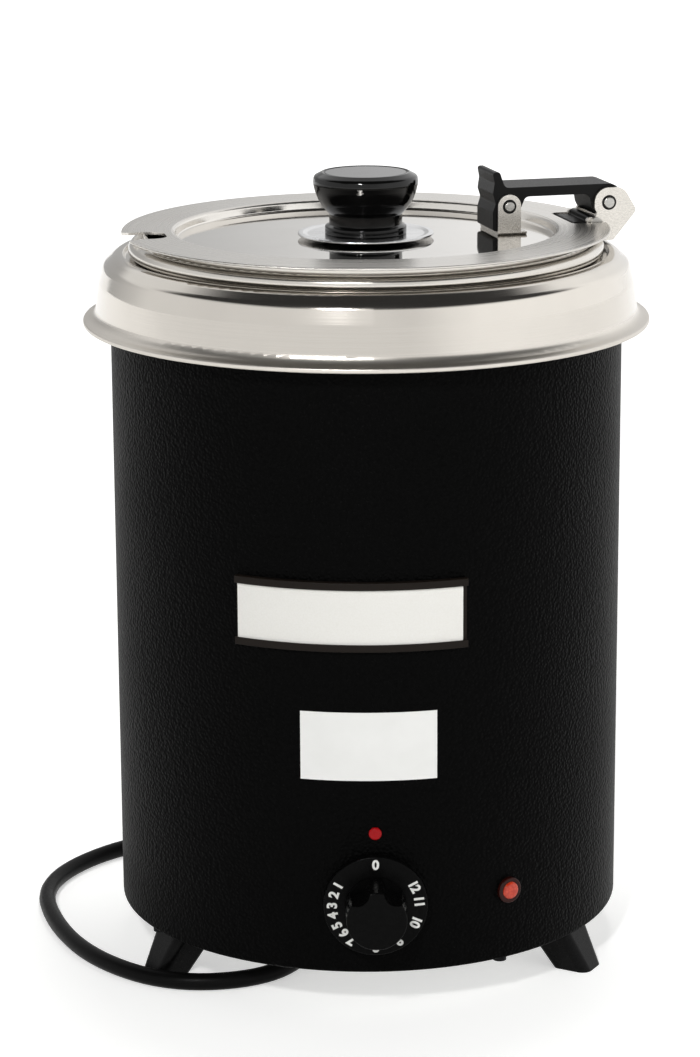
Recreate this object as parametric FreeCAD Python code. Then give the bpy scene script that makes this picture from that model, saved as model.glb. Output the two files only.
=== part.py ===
import FreeCAD, Part
import math
import os

V = FreeCAD.Vector
UP = V(0, 0, 1)
ORIGIN = V(0, 0, 0)

# Driving dimensions in millimetres and degrees. The floor is z = 0 and the front is -Y.
# Azimuths count from the front towards the right-hand side.

# Jacket, base and feet
body_d = 244.0
body_h = 285.6
jacket_sheet = 1.0
hem_width = 8.5
foot_h = 23.0
foot_azimuths = {"foot_left": -60.0, "foot_right": 60.0, "foot_rear": 180.0}
foot_width = 18.0
foot_depth = 18.5
foot_splay = 15.0
base_sheet = 1.2
base_screw_count = 4
base_screw_azimuth = 30.0
base_screw_r = 1.9
foot_screw_r = 2.0
foot_screw_inset = 19.0
foot_screw_end = 11.0
vent_count = 12
vent_r = 74.0
vent_length = 14.0
vent_width = 4.0

# Collar and water bath; the collar's widths follow the jacket
lip_overhang = 13.0
lip_h = 2.2
wall_overhang = 7.0
collar_h = 33.4
collar_sheet = 1.2
collar_draft = 1.6
shoulder_r = 12.0
crest_inset = 1.0
ledge_width = 7.4
ledge_drop = 2.0
opening_inset = 14.8
spigot_h = 11.0
well_sheet = 0.8
base_room = 79.1
well_corner = 10.0
wool_thickness = 9.0

# Food pot
pot_room = 2.7
pot_taper = 5.5
pot_clear = 24.3
pot_sheet = 0.8
pot_corner = 12.0
bead_r = 3.7
rim_reach = 9.3
rim_rise = 10.6
hem_thickness = 1.8
shelf_drop = 1.1

# Lid and its knob
lid_overhang = 3.0
lid_sheet = 1.2
flange_width = 26.0
step_run = 0.8
panel_drop = 4.6
notch_azimuth = -79.5
notch_width = 20.0
notch_depth = 20.0
knob_d = 50.4
knob_top_d = 42.0
knob_neck_d = 34.8
knob_base_d = 38.8
knob_h = 29.2
knob_plate_d = 64.6
knob_plate_h = 2.0
saucer_foot_d = 28.0
saucer_lift = 1.4
saucer_rim_h = 1.2
knob_screw_d = 5.0
washer_h = 1.1

# Hinge: s runs outwards from the axis, w across the hinge towards the front
hinge_azimuth = 103.5
lid_pin_inset = 23.0
arm_pin_reach = 0.7
pin_height = 9.0
arm_width = 25.4
arm_plate = 4.6
arm_top = 8.8
tab_rise = 7.6
tab_thickness = 3.4
ear_sheet = 1.4
fold_r = 1.2
pin_recess = 0.9
lid_eye_r = 5.4
block_reach = 7.8
block_gap = 0.5
arm_eye_r = 7.2
plate_sheet = 2.0
lid_pin_d = 5.0
arm_pin_d = 5.4
pin_proud = 0.7
ring_sunk = 0.1
clamp_depth = 4.3
clamp_reach = 6.4
clamp_screw_r = 1.4
clamp_screw_inset = 6.7
clamp_screw_drop = 0.5
rivet_r = 1.6
rivet_head_r = 2.8
rivet_offset = 2.5
rivet_spread = 7.0
through = 40.0

# Controls on the front wall
dial_height = 58.0
dial_d = 48.0
grip_d = 28.6
scallop_d = 12.0
nose_width = 6.4
skirt_h = 3.4
grip_h = 20.0
shaft_d = 6.0
pip_height = 91.4
pip_d = 6.0
lamp_azimuth = 30.8
lamp_height = 57.0
lamp_d = 12.4
lens_d = 8.4
lamp_case_r = 5.2
lamp_flange = 0.25
bushing_r = 5.0
case_size = (34.0, 30.0, 34.0)
case_screw_r = 1.9
case_screw_offset = 14.0
pip_shank_r = 1.5
skirt_back = 2.4

# Label channel, card and plain sticker
label_from = -30.4
label_to = 20.0
label_bottom = 178.4
label_h = 32.5
rail_h = 3.5
rail_wall = 1.2
label_back = 0.8
card_thickness = 0.7
rail_lip = 0.7
sticker_azimuth = -1.3
sticker_sweep = 29.6
sticker_bottom = 116.8
sticker_h = 32.5
sticker_thickness = 0.25

# Mains lead
cord_d = 8.4
coil_pitch = 9.2
coil_turns = 2
coil_outer_r = 52.0
coil_across = 60.0
coil_gap = 14.0
coil_tail = 42.0
tie_width = 8.0
tie_sheet = 1.2
plug_d = 29.2
plug_length = 40.0
plug_relief = 14.0
pin_r = 2.4
pin_length = 19.0
pin_spread = 19.0
gland_d = 18.0
gland_neck_r = 7.0
gland_exit_z = 13.0
gland_reach = 20.0
gland_turn = 258.7

# Wiring in the base
block_corner = (-72.0, 0.0)
block_size = (44.0, 20.0, 18.0)
terminal_pitch = 14.0
wire_r = 1.3

# Clearances: seat between pieces that part, run round pins, fit between fixed neighbours
seat = 0.3
run = 0.06
fit = 0.1

# Levels and radii worked out from the sizes above
body_r = body_d / 2
body_in = body_r - jacket_sheet
body_top = foot_h + body_h
base_z = foot_h + jacket_sheet + fit
base_top = base_z + base_sheet
foot_screw_circle = body_r - foot_screw_inset
case_front = body_in - 1.8
case_back = case_front - case_size[1]
shaft_start = case_front - 12.0
label_r = body_r + 0.15
channel_r = label_r + label_back
channel_depth = card_thickness + 2 * seat
lip_r = body_r + lip_overhang
crest_z = body_top + collar_h
crest_r = body_r - crest_inset
ledge_z = crest_z - ledge_drop
opening_r = body_r - opening_inset
well_r = opening_r - 2 * fit
well_in = well_r - well_sheet
well_top = ledge_z - collar_sheet - well_sheet
well_bottom = base_top + base_room
pot_r = opening_r - pot_room
pot_bottom = well_bottom + pot_clear
bead_s = pot_r - pot_sheet + rim_reach - bead_r
bead_z = ledge_z + seat + bead_r
bead_out = bead_s + bead_r
bead_top = bead_z + bead_r
rim_top = ledge_z + seat + rim_rise
lid_r = pot_r - pot_sheet + rim_reach + lid_overhang
panel_r = lid_r - flange_width
lid_pin_s = panel_r - lid_pin_inset
arm_pin_s = lid_r + arm_pin_reach
clamp_inner_s = pot_r - pot_sheet - clamp_depth
clamp_outer_s = pot_r - pot_sheet + rim_reach + clamp_reach
flange_z = rim_top + seat
flange_top = flange_z + lid_sheet
panel_top = flange_top - panel_drop
panel_z = panel_top - lid_sheet
pin_z = flange_top + pin_height
clevis_base = panel_top + fit / 2
rivet_s = lid_pin_s + rivet_offset
plate_z = panel_top + fit / 2
knob_z = plate_z + knob_plate_h + fit / 2
screw_r = knob_screw_d / 2
arm_half = arm_width / 2
ear_in = arm_half + seat
ear_out = ear_in + ear_sheet
plate_in = arm_half + seat
plate_out = plate_in + plate_sheet
screw_head_h = 1.6
clamp_screw_s = arm_pin_s - clamp_screw_inset
clamp_screw_z = flange_top - clamp_screw_drop
cutout_half = plate_out + screw_head_h + 1.2
cutout_s = clamp_inner_s - 1.6
cord_r = cord_d / 2
floor_z = cord_r + fit
coil_y = body_r + coil_gap + coil_outer_r
coil_low = tie_sheet + seat + cord_r
coil_high = coil_low + coil_pitch
coil_inner_r = coil_outer_r - coil_turns * coil_pitch
plug_x = coil_across - coil_tail
plug_y = coil_y + coil_outer_r

# Heating pieces hang below the bath in this order
spreader_top = well_bottom - fit
spreader_h = 2.8
spreader_inset = 15.0
element_r = 70.0
element_d = 6.4
element_z = spreader_top - spreader_h - fit - element_d / 2
clamp_top = element_z - element_d / 2 - fit
clamp_h = 2.0
stud_r = 2.4
stud_circle = 40.0
element_gap = 30.0
element_pin_r = 2.2
element_pin_end = clamp_top - 14.0
bulb_r = 3.0
bulb_half = 30.0
bulb_y = -82.0
bulb_z = spreader_top - spreader_h - fit / 2 - bulb_r


def polar(radius, azimuth, z=0.0):
    """Point at a radius and azimuth about the kettle's axis."""
    a = math.radians(azimuth)
    return V(radius * math.sin(a), -radius * math.cos(a), z)


def meridian(r, z):
    """Point of a meridian outline, drawn in the front half plane."""
    return V(0, -r, z)


def flat(z):
    """Placing rule for an outline drawn level at height z."""
    return lambda x, y: V(x, y, z)


def hinge_point(s, w, z):
    """Point in the hinge's own directions: outwards, across and up."""
    return polar(s, hinge_azimuth, z) + polar(w, hinge_azimuth - 90)


def outline(corners, place):
    """Closed wire through corners (u, v, radius); a radius above zero rounds that corner."""
    points = [V(u, v, 0) for u, v, radius in corners]
    count = len(points)
    cuts = []
    for i, (u, v, radius) in enumerate(corners):
        back = (points[i - 1] - points[i]).normalize()
        ahead = (points[(i + 1) % count] - points[i]).normalize()
        half = back.getAngle(ahead) / 2
        setback = radius / math.tan(half)
        inward = (back + ahead).normalize() * (radius / math.sin(half) - radius) if radius else V()
        cuts.append((points[i] + back * setback, points[i] + inward, points[i] + ahead * setback))
    edges = []
    for i, (start, middle, end) in enumerate(cuts):
        if corners[i][2]:
            arc = Part.Arc(place(start.x, start.y), place(middle.x, middle.y), place(end.x, end.y))
            edges.append(arc.toShape())
        following = cuts[(i + 1) % count][0]
        if (following - end).Length > 1e-6:
            edges.append(Part.makeLine(place(end.x, end.y), place(following.x, following.y)))
    return Part.Wire(edges)


def turned(corners, sweep=360.0, start=0.0):
    """Solid of revolution about the kettle's axis from a meridian outline."""
    solid = Part.Face(outline(corners, meridian)).revolve(ORIGIN, UP, sweep)
    solid.rotate(ORIGIN, UP, start)
    return solid


def rod(radius, start, end):
    """Round bar between two points."""
    return Part.makeCylinder(radius, (end - start).Length, start, end - start)


def ring(outer, inner, z, height):
    """Flat washer or short tube about the kettle's axis."""
    hole = rod(inner, V(0, 0, z - 1), V(0, 0, z + height + 1))
    return rod(outer, V(0, 0, z), V(0, 0, z + height)).cut(hole)


def block(corner, size):
    """Box from its least corner and its three sizes."""
    return Part.makeBox(size[0], size[1], size[2], V(*corner))


def hinge_slab(corners, w_from, w_to):
    """Slab across the hinge from an outline in (s, z)."""
    face = Part.Face(outline(corners, lambda s, z: hinge_point(s, w_from, z)))
    return face.extrude(hinge_point(0, w_to - w_from, 0))


def hinge_rod(radius, s, z, w_from, w_to):
    """Round bar across the hinge."""
    return rod(radius, hinge_point(s, w_from, z), hinge_point(s, w_to, z))


def on_wall(solid, azimuth, height):
    """Puts a piece drawn along +Z, with +Y up, on the jacket's wall so that it points outwards."""
    facing = FreeCAD.Rotation(polar(1, azimuth + 90), UP, polar(1, azimuth), "ZYX")
    placed = solid.copy()
    placed.Placement = FreeCAD.Placement(polar(body_r, azimuth, height), facing)
    return placed


def pan_screw(head_r, head_h, shank_r, shank_length):
    """Screw along +Z: shank below the origin, slotted pan head above it."""
    shank = rod(shank_r, V(0, 0, -shank_length), V(0, 0, 0))
    head = rod(head_r, V(0, 0, 0), V(0, 0, head_h))
    slot_width = head_r * 0.28
    slot = block((-head_r, -slot_width / 2, head_h * 0.55), (2 * head_r, slot_width, head_h))
    return shank.fuse(head.cut(slot)).removeSplitter()


def rounded_route(points, name):
    """Wire of straight runs joined by the largest tangent arcs that the runs allow."""
    edges = []
    radii = []
    last = points[0]
    for i in range(1, len(points) - 1):
        back = points[i - 1] - points[i]
        ahead = points[i + 1] - points[i]
        setback = 0.45 * min(back.Length, ahead.Length)
        back.normalize()
        ahead.normalize()
        half = back.getAngle(ahead) / 2
        radius = setback * math.tan(half)
        inward = (back + ahead).normalize() * (radius / math.sin(half) - radius)
        start = points[i] + back * setback
        end = points[i] + ahead * setback
        edges.append(Part.LineSegment(last, start).toShape())
        edges.append(Part.Arc(start, points[i] + inward, end).toShape())
        radii.append(round(radius, 1))
        last = end
    edges.append(Part.LineSegment(last, points[-1]).toShape())
    print(name, "bend radii", radii)
    return Part.Wire(edges)


def tube(path, radius, name):
    """Round tube swept along a wire, with its volume compared with section times length."""
    start = path.Edges[0]
    heading = start.tangentAt(start.FirstParameter)
    section = Part.Wire(Part.makeCircle(radius, start.valueAt(start.FirstParameter), heading))
    solid = path.makePipeShell([section], True, False)
    print(name, "length", round(path.Length, 1), "volume ratio",
          round(solid.Volume / (math.pi * radius ** 2 * path.Length), 4))
    return solid


# Jacket, base and feet

def make_body_shell():
    """Rolled jacket with an inward hem at the bottom and holes for the controls."""
    inner_hem = body_r - hem_width
    shell = turned([
        (inner_hem, foot_h, 0), (body_r, foot_h, 1.6), (body_r, body_top, 0), (body_in, body_top, 0),
        (body_in, foot_h + jacket_sheet, 0.6), (inner_hem, foot_h + jacket_sheet, 0)])
    depth = 8.0
    for azimuth, height, radius in control_holes():
        hole = rod(radius, V(0, 0, -depth), V(0, 0, depth))
        shell = shell.cut(on_wall(hole, azimuth, height))
    for azimuth in base_screw_azimuths():
        centre = polar(base_screw_circle(), azimuth)
        shell = shell.cut(rod(base_screw_r + fit, centre, centre + UP * (foot_h + depth)))
    return shell


def control_holes():
    """Azimuth, height and radius of each hole through the jacket's wall."""
    return [
        (0.0, dial_height, bushing_r + fit),
        (0.0, dial_height + case_screw_offset, case_screw_r + fit),
        (0.0, dial_height - case_screw_offset, case_screw_r + fit),
        (0.0, pip_height, pip_shank_r + fit),
        (lamp_azimuth, lamp_height, lamp_case_r + fit)]


def base_screw_azimuths():
    return [base_screw_azimuth + 360.0 * i / base_screw_count for i in range(base_screw_count)]


def base_screw_circle():
    return body_r - hem_width / 2


def make_base_plate():
    """Steel disc on the hem, with vents and holes for the feet and the strain relief."""
    top = V(0, 0, base_top)
    plate = rod(body_in - 0.4, V(0, 0, base_z), top)
    for azimuth in base_screw_azimuths():
        centre = polar(base_screw_circle(), azimuth)
        plate = plate.cut(rod(base_screw_r + fit, centre, centre + top))
    for azimuth in foot_azimuths.values():
        centre = polar(foot_screw_circle, azimuth)
        plate = plate.cut(rod(foot_screw_r + fit, centre, centre + top))
    plate = plate.cut(rod(gland_neck_r + fit, gland_point(0), gland_point(base_top + 1)))
    for i in range(vent_count):
        slot = block((vent_r, -vent_width / 2, base_z - 1), (vent_length, vent_width, base_sheet + 2))
        slot.rotate(ORIGIN, UP, 360.0 * i / vent_count)
        plate = plate.cut(slot)
    return plate


def make_base_screws():
    """Pan screws up through the hem into the base plate."""
    screws = []
    for azimuth in base_screw_azimuths():
        screw = pan_screw(3.2, 1.8, base_screw_r, jacket_sheet + base_sheet + 2.0)
        screw.rotate(ORIGIN, V(1, 0, 0), 180)
        screw.translate(polar(base_screw_circle(), azimuth, foot_h - 0.02))
        screws.append(screw)
    return Part.Compound(screws)


def make_foot(azimuth):
    """Splayed block: narrow pad on the floor, wider head under the base plate."""
    head_h = base_z - 0.05
    head_in = foot_screw_circle - 14.0
    head_out = body_r - hem_width - 1.5
    pad_out = head_out + foot_splay - 2.5
    pad_in = pad_out - foot_depth
    half = foot_width / 2
    head_half = half + 4.0
    pad = [(pad_in, -half, 3), (pad_out, -half, 5), (pad_out, half, 5), (pad_in, half, 3)]
    head = [(head_in, -head_half, 3), (head_out, -head_half, 5),
            (head_out, head_half, 5), (head_in, head_half, 3)]
    foot = Part.makeLoft([outline(pad, flat(0)), outline(head, flat(head_h))], True, True)
    hole_end = V(foot_screw_circle, 0, foot_screw_end)
    foot = foot.cut(rod(foot_screw_r + 0.02, hole_end, hole_end + UP * head_h))
    foot.rotate(ORIGIN, UP, azimuth - 90)
    return foot


def make_foot_screws():
    """One screw from inside the jacket down into each foot."""
    screws = []
    for azimuth in foot_azimuths.values():
        screw = pan_screw(4.0, 2.4, foot_screw_r, base_top - foot_screw_end)
        screw.translate(polar(foot_screw_circle, azimuth, base_top + 0.02))
        screws.append(screw)
    return Part.Compound(screws)


# Collar and water bath

def make_collar():
    """Spun collar: spigot in the jacket, rolled lip, drawn wall, round shoulder, shelf and opening."""
    wall_r = body_r + wall_overhang
    step_r = opening_r + ledge_width
    spigot_r = body_in - fit
    spigot_in = spigot_r - collar_sheet
    lip_z = body_top + fit
    wall_top = wall_r - collar_draft
    skirt_z = ledge_z - 10.0
    shoulder_z = crest_z - shoulder_r * 1.12
    bend_z = crest_z - shoulder_r * 0.42
    return turned([
        (spigot_in, body_top - spigot_h, 0),
        (spigot_r, body_top - spigot_h, 0),
        (spigot_r, lip_z, 0),
        (lip_r, lip_z, 0.9),
        (lip_r, lip_z + lip_h, 0.9),
        (wall_r + 0.4, lip_z + lip_h + 1.8, 5.0),
        (wall_top, shoulder_z, 10.0),
        (wall_top - 2.4, bend_z, 5.0),
        (crest_r - 2.0, crest_z, 6.0),
        (step_r + 0.8, crest_z, 0.4),
        (step_r, ledge_z, 0.6),
        (opening_r, ledge_z, 1.0),
        (opening_r, skirt_z, 0),
        (opening_r + collar_sheet, skirt_z, 0),
        (opening_r + collar_sheet, ledge_z - collar_sheet, 0.4),
        (step_r + 1.0, ledge_z - collar_sheet, 0.6),
        (step_r + 1.8, crest_z - collar_sheet, 0.4),
        (crest_r - 2.6, crest_z - collar_sheet, 4.4),
        (wall_top - 3.6, bend_z - 0.6, 3.8),
        (wall_top - collar_sheet, shoulder_z, 8.8),
        (wall_r - collar_sheet, lip_z + collar_sheet, 0.5),
        (spigot_in, lip_z + collar_sheet, 0)])


def make_water_well():
    """Drawn bath that fits inside the collar's turned-down opening."""
    corner = well_corner
    return turned([
        (0, well_bottom, 0), (well_r, well_bottom, corner), (well_r, well_top, 0), (well_in, well_top, 0),
        (well_in, well_bottom + well_sheet, corner - well_sheet), (0, well_bottom + well_sheet, 0)])


def make_insulation_wrap():
    """Glass-wool blanket round the bath."""
    inner = well_r + 0.6
    bottom = well_bottom + well_corner
    top = body_top - spigot_h - 4.0
    return turned([(inner, bottom, 2), (inner + wool_thickness, bottom, 2),
                   (inner + wool_thickness, top, 2), (inner, top, 2)])


# Heating pieces under the bath

def stud_points(z):
    return [polar(stud_circle, 360.0 * i / 3, z) for i in range(3)]


def stud_holes(radius):
    reach = 40.0
    holes = [rod(radius, point, point + UP * 2 * reach) for point in stud_points(clamp_top - reach)]
    return Part.Compound(holes)


def make_bath_studs():
    """Weld studs below the bath's floor."""
    end = clamp_top - clamp_h - 7.0
    ends = zip(stud_points(end), stud_points(well_bottom - 0.02))
    return Part.Compound([rod(stud_r, low, high) for low, high in ends])


def make_heat_spreader():
    disc = rod(well_r - spreader_inset, V(0, 0, spreader_top - spreader_h), V(0, 0, spreader_top))
    return disc.cut(stud_holes(stud_r + fit))


def element_ends(z):
    """The two ends of the open ring, either side of the left."""
    return [polar(element_r, -90 + side * element_gap / 2, z) for side in (-1, 1)]


def make_heating_element():
    """Open tubular ring with two cold pins that turn down."""
    section = Part.Face(Part.Wire(Part.makeCircle(element_d / 2, meridian(element_r, element_z), V(1, 0, 0))))
    body = section.revolve(ORIGIN, UP, 360 - element_gap)
    body.rotate(ORIGIN, UP, -90 + element_gap / 2)
    for start, end in zip(element_ends(element_z), element_ends(element_pin_end)):
        body = body.fuse(rod(element_pin_r, end, start))
    return body.removeSplitter()


def make_element_clamp():
    """Pressed disc that holds the ring against the spreader."""
    disc = ring(element_r + 5.0, 14.0, clamp_top - clamp_h, clamp_h)
    for point in element_ends(clamp_top - 20):
        disc = disc.cut(rod(element_pin_r + 2.0, point, point + UP * 40))
    return disc.cut(stud_holes(stud_r + fit))


def make_clamp_nuts():
    """Hexagon nuts on the studs."""
    nuts = []
    top = clamp_top - clamp_h - 0.02
    height = 4.0
    corner_r = 5.0
    for point in stud_points(top - height):
        tips = [point + polar(corner_r, 60 * i) for i in range(6)]
        corners = [(tip.x, tip.y, 0) for tip in tips]
        nut = Part.Face(outline(corners, flat(top - height))).extrude(UP * height)
        nuts.append(nut.cut(rod(stud_r + 0.03, point, point + UP * height)))
    return Part.Compound(nuts)


def make_overheat_cutout():
    """Disc cut-out against the middle of the spreader."""
    top = spreader_top - spreader_h - 0.05
    can = rod(9.0, V(0, 0, top - 6.0), V(0, 0, top))
    base = rod(6.5, V(0, 0, top - 13.0), V(0, 0, top - 6.0))
    return can.fuse(base).removeSplitter()


def make_sensor_bulb():
    return rod(bulb_r, V(-bulb_half, bulb_y, bulb_z), V(bulb_half, bulb_y, bulb_z))


# Thermostat, dial and lamp

def make_thermostat_case():
    """Switch housing behind the wall, with its threaded bushing through the jacket."""
    case = block((-case_size[0] / 2, -case_front, dial_height - case_size[2] / 2), case_size)
    bushing_end = body_r + 1.6
    case = case.fuse(rod(bushing_r, V(0, -case_front, dial_height), V(0, -bushing_end, dial_height)))
    hole_start = V(0, -shaft_start - 0.5, dial_height)
    hole_end = V(0, -bushing_end - 1, dial_height)
    case = case.cut(rod(shaft_d / 2 + run, hole_start, hole_end)).removeSplitter()
    for side in (-1, 1):
        hole = rod(case_screw_r + 0.02, V(0, 0, -10), V(0, 0, 5))
        case = case.cut(on_wall(hole, 0.0, dial_height + side * case_screw_offset))
    return case


def make_thermostat_shaft():
    end = body_r + skirt_back + skirt_h + grip_h - 5.0
    return rod(shaft_d / 2, V(0, -shaft_start - 1.0, dial_height), V(0, -end, dial_height))


def make_thermostat_screws():
    """Two pan screws hidden behind the dial's skirt."""
    screws = []
    for side in (-1, 1):
        screw = pan_screw(3.4, 1.7, case_screw_r, 9.0)
        screw.translate(V(0, 0, 0.1))
        screws.append(on_wall(screw, 0.0, dial_height + side * case_screw_offset))
    return Part.Compound(screws)


def make_dial_knob():
    """Flat skirt with a deep round grip; two finger scallops leave a nose that points up."""
    skirt_r = dial_d / 2
    grip_r = grip_d / 2
    scallop_r = scallop_d / 2
    front = skirt_back + skirt_h
    skirt = rod(skirt_r, V(0, 0, skirt_back), V(0, 0, front))
    skirt = skirt.makeFillet(0.8, [e for e in skirt.Edges if e.BoundBox.ZMin > front - 0.01])
    grip = Part.makeCone(grip_r, grip_r - 0.5, grip_h, V(0, 0, front), UP)
    grip = grip.makeFillet(0.8, [e for e in grip.Edges if e.BoundBox.ZMin > front + grip_h - 0.01])
    for side in (-1, 1):
        centre = V(side * (nose_width / 2 + scallop_r), grip_r - 1.0, front + 1.2)
        grip = grip.cut(rod(scallop_r, centre, centre + UP * grip_h))
    knob = skirt.fuse(grip).removeSplitter()
    bore_end = front + grip_h - 4.6
    knob = knob.cut(rod(shaft_d / 2 + 0.03, V(0, 0, 0), V(0, 0, bore_end)))
    return on_wall(knob, 0.0, dial_height)


def make_index_pip():
    """Red button pressed into the wall above the dial."""
    head = rod(pip_d / 2, V(0, 0, 0.08), V(0, 0, 1.5))
    head = head.makeFillet(0.9, [e for e in head.Edges if e.BoundBox.ZMin > 1.4])
    shank = rod(pip_shank_r, V(0, 0, -3), V(0, 0, 0.08))
    return on_wall(head.fuse(shank).removeSplitter(), 0.0, pip_height)


def make_pilot_case():
    return on_wall(rod(lamp_case_r, V(0, 0, -22), V(0, 0, lamp_flange - 0.02)), lamp_azimuth, lamp_height)


def make_pilot_bezel():
    height = 1.8
    collar = rod(lamp_d / 2, V(0, 0, lamp_flange), V(0, 0, lamp_flange + height))
    collar = collar.makeFillet(0.7, [e for e in collar.Edges if e.BoundBox.ZMin > lamp_flange + height - 0.1])
    collar = collar.cut(rod(lens_d / 2 + 0.05, V(0, 0, 0), V(0, 0, 9)))
    return on_wall(collar, lamp_azimuth, lamp_height)


def make_pilot_lens():
    lens = rod(lens_d / 2, V(0, 0, lamp_flange), V(0, 0, lamp_flange + 2.9))
    lens = lens.makeFillet(1.4, [e for e in lens.Edges if e.BoundBox.ZMin > lamp_flange + 2.8])
    return on_wall(lens, lamp_azimuth, lamp_height)


def make_pilot_clip():
    """Spring ring that grips the lamp inside the wall."""
    clip = ring(8.0, lamp_case_r + 0.03, -3.4, 1.8)
    return on_wall(clip, lamp_azimuth, lamp_height)


# Wiring in the base

def terminal_points(z):
    """Middle of each of the three ways of the terminal block."""
    middle = (block_corner[0] + block_size[0] / 2, block_corner[1] + block_size[1] / 2)
    return [V(middle[0] + i * terminal_pitch, middle[1], z) for i in (-1, 0, 1)]


def make_terminal_block():
    bottom = base_top + 0.05
    body = block((block_corner[0], block_corner[1], bottom), block_size)
    for point in terminal_points(bottom):
        for side in (-1, 1):
            well = point + V(0, side * 5.5, block_size[2] - 5.0)
            body = body.cut(rod(2.6, well, well + UP * 10))
    return body


def make_terminal_screws():
    screws = []
    for point in terminal_points(base_top + 0.05):
        for side in (-1, 1):
            seat_point = point + V(0, side * 5.5, block_size[2] - 4.98)
            screws.append(rod(2.5, seat_point, seat_point + UP * 2.6))
    return Part.Compound(screws)


def make_wire_element():
    """Lead from a cold pin of the ring down to the terminal block."""
    pin = element_ends(element_pin_end - 0.05)[0]
    way = terminal_points(base_top + 0.1 + block_size[2])[0]
    points = [pin, pin - UP * 9, pin * 0.6 + way * 0.4 - UP * 6, way + UP * 11, way]
    return tube(rounded_route(points, "wire_element"), wire_r, "wire_element")


def make_wire_thermostat():
    """Lead from the terminal block to the thermostat's left side."""
    way = terminal_points(base_top + 0.1 + block_size[2])[1]
    side = -case_size[0] / 2 - 0.05
    end = V(side, -case_back - 9, dial_height)
    points = [way, way + UP * 12, V(way.x + 4, -30, dial_height - 2), V(-41, 56 - body_r, dial_height + 1),
              end - V(14, 0, 0), end]
    return tube(rounded_route(points, "wire_thermostat"), wire_r, "wire_thermostat")


def make_wire_lamp():
    """Lead from the pilot lamp to the thermostat's right side."""
    start = polar(body_r - 22.05, lamp_azimuth, lamp_height)
    inner = polar(body_r - 34.0, lamp_azimuth, lamp_height)
    side = case_size[0] / 2 + 0.05
    end = V(side, -case_back - 14, dial_height - 8)
    points = [start, inner, V(35, 38 - body_r, dial_height - 6), end + V(11, 0, 0), end]
    return tube(rounded_route(points, "wire_lamp"), wire_r, "wire_lamp")


def make_capillary_tube():
    """Thin tube from the feeler down to the thermostat."""
    start = V(bulb_half + 0.05, bulb_y, bulb_z)
    end = V(case_size[0] / 2 + 0.05, -case_back - 9, dial_height + 8)
    points = [start, start + V(12, 0, 0), V(47, 32 - body_r, bulb_z - 13),
              V(38, 24 - body_r, dial_height + 12), end + V(9, 0, 0), end]
    return tube(rounded_route(points, "capillary_tube"), 1.0, "capillary_tube")


# Mains lead

lead_start = V(-9.0, 22.0, gland_exit_z)
gland_heading = V(math.cos(math.radians(gland_turn)), math.sin(math.radians(gland_turn)), 0)
lead_end = V(coil_across - cord_d, coil_y - coil_outer_r, coil_low)

# Route of the free lead, chosen by hand, from the strain relief round the left side to the coil
lead_route = [
    lead_start,
    lead_start + gland_heading * 15.0,
    V(-17.5, -16.0, 7.4),
    V(-28.0, -44.0, floor_z),
    polar(body_r - 27.7, -32.0, floor_z),
    polar(body_r + 6.9, -47.9, floor_z),
    polar(body_r + 22.5, -67.9, floor_z),
    polar(body_r + 34.8, -88.0, floor_z),
    polar(body_r + 51.7, -106.6, floor_z),
    polar(body_r + 49.4, -124.6, floor_z),
    polar(body_r + 35.9, -142.9, floor_z),
    polar(body_r + 21.6, -162.8, floor_z),
    polar(body_r + 16.4, 179.6, floor_z + 0.4),
    lead_end - V(24.0, 0, 0),
    lead_end]


def gland_point(z):
    """Axis of the strain relief's neck through the base plate."""
    return V(lead_start.x, lead_start.y, z) - gland_heading * gland_reach


def make_cord_gland():
    """Right-angle strain relief: neck through the plate, elbow below it, spout towards the front."""
    heading = gland_heading
    elbow_low = gland_exit_z - 8.0
    elbow = rod(gland_d / 2, gland_point(elbow_low), gland_point(base_z - 0.05))
    neck = rod(gland_neck_r, gland_point(base_z - 0.1), gland_point(base_top + 7.0))
    spout_start = gland_point(gland_exit_z)
    spout = Part.makeCone(7.4, cord_r + 1.2, gland_reach, spout_start, heading)
    nut = rod(11.0, gland_point(base_top + 0.05), gland_point(base_top + 4.0))
    return elbow.fuse([neck, spout, nut]).removeSplitter()


def make_cord_lead():
    return tube(rounded_route(lead_route, "cord_lead"), cord_r, "cord_lead")


def coil_place(turn):
    """Centre of the cord after a number of turns: spiral in, climb half a turn, spiral out."""
    if turn <= coil_turns:
        radius = coil_outer_r - coil_pitch * turn
        z = coil_low
    elif turn <= coil_turns + 0.5:
        part = (turn - coil_turns) / 0.5
        radius = coil_inner_r - 2.0 * math.sin(math.pi * part)
        z = coil_low + coil_pitch * part * part * (3 - 2 * part)
    else:
        radius = coil_inner_r + coil_pitch * (turn - coil_turns - 0.5)
        z = coil_high
    angle = 2 * math.pi * turn - math.pi / 2
    return V(coil_across + radius * math.cos(angle), coil_y + radius * math.sin(angle), z)


def arc_from(start, heading, end):
    """Arc that leaves a point along a heading and ends at another point."""
    chord = end - start
    half = heading.getAngle(chord) / 2
    side = (heading - chord * (heading.dot(chord) / chord.dot(chord))).normalize()
    middle = start + chord * 0.5 + side * (chord.Length / 2 * math.tan(half))
    return Part.Arc(start, middle, end).toShape()


def biarc(start, heading, end, end_heading):
    """Two arcs that join two points with given headings."""
    v = end - start
    t = heading + end_heading
    k = 2 * (1 - heading.dot(end_heading))
    d = (-v.dot(t) + math.sqrt(v.dot(t) ** 2 + k * v.dot(v))) / k
    joint = (start + end + (heading - end_heading) * d) * 0.5
    second = arc_from(end, end_heading * -1, joint)
    return [arc_from(start, heading, joint), second.reversed()]


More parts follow.
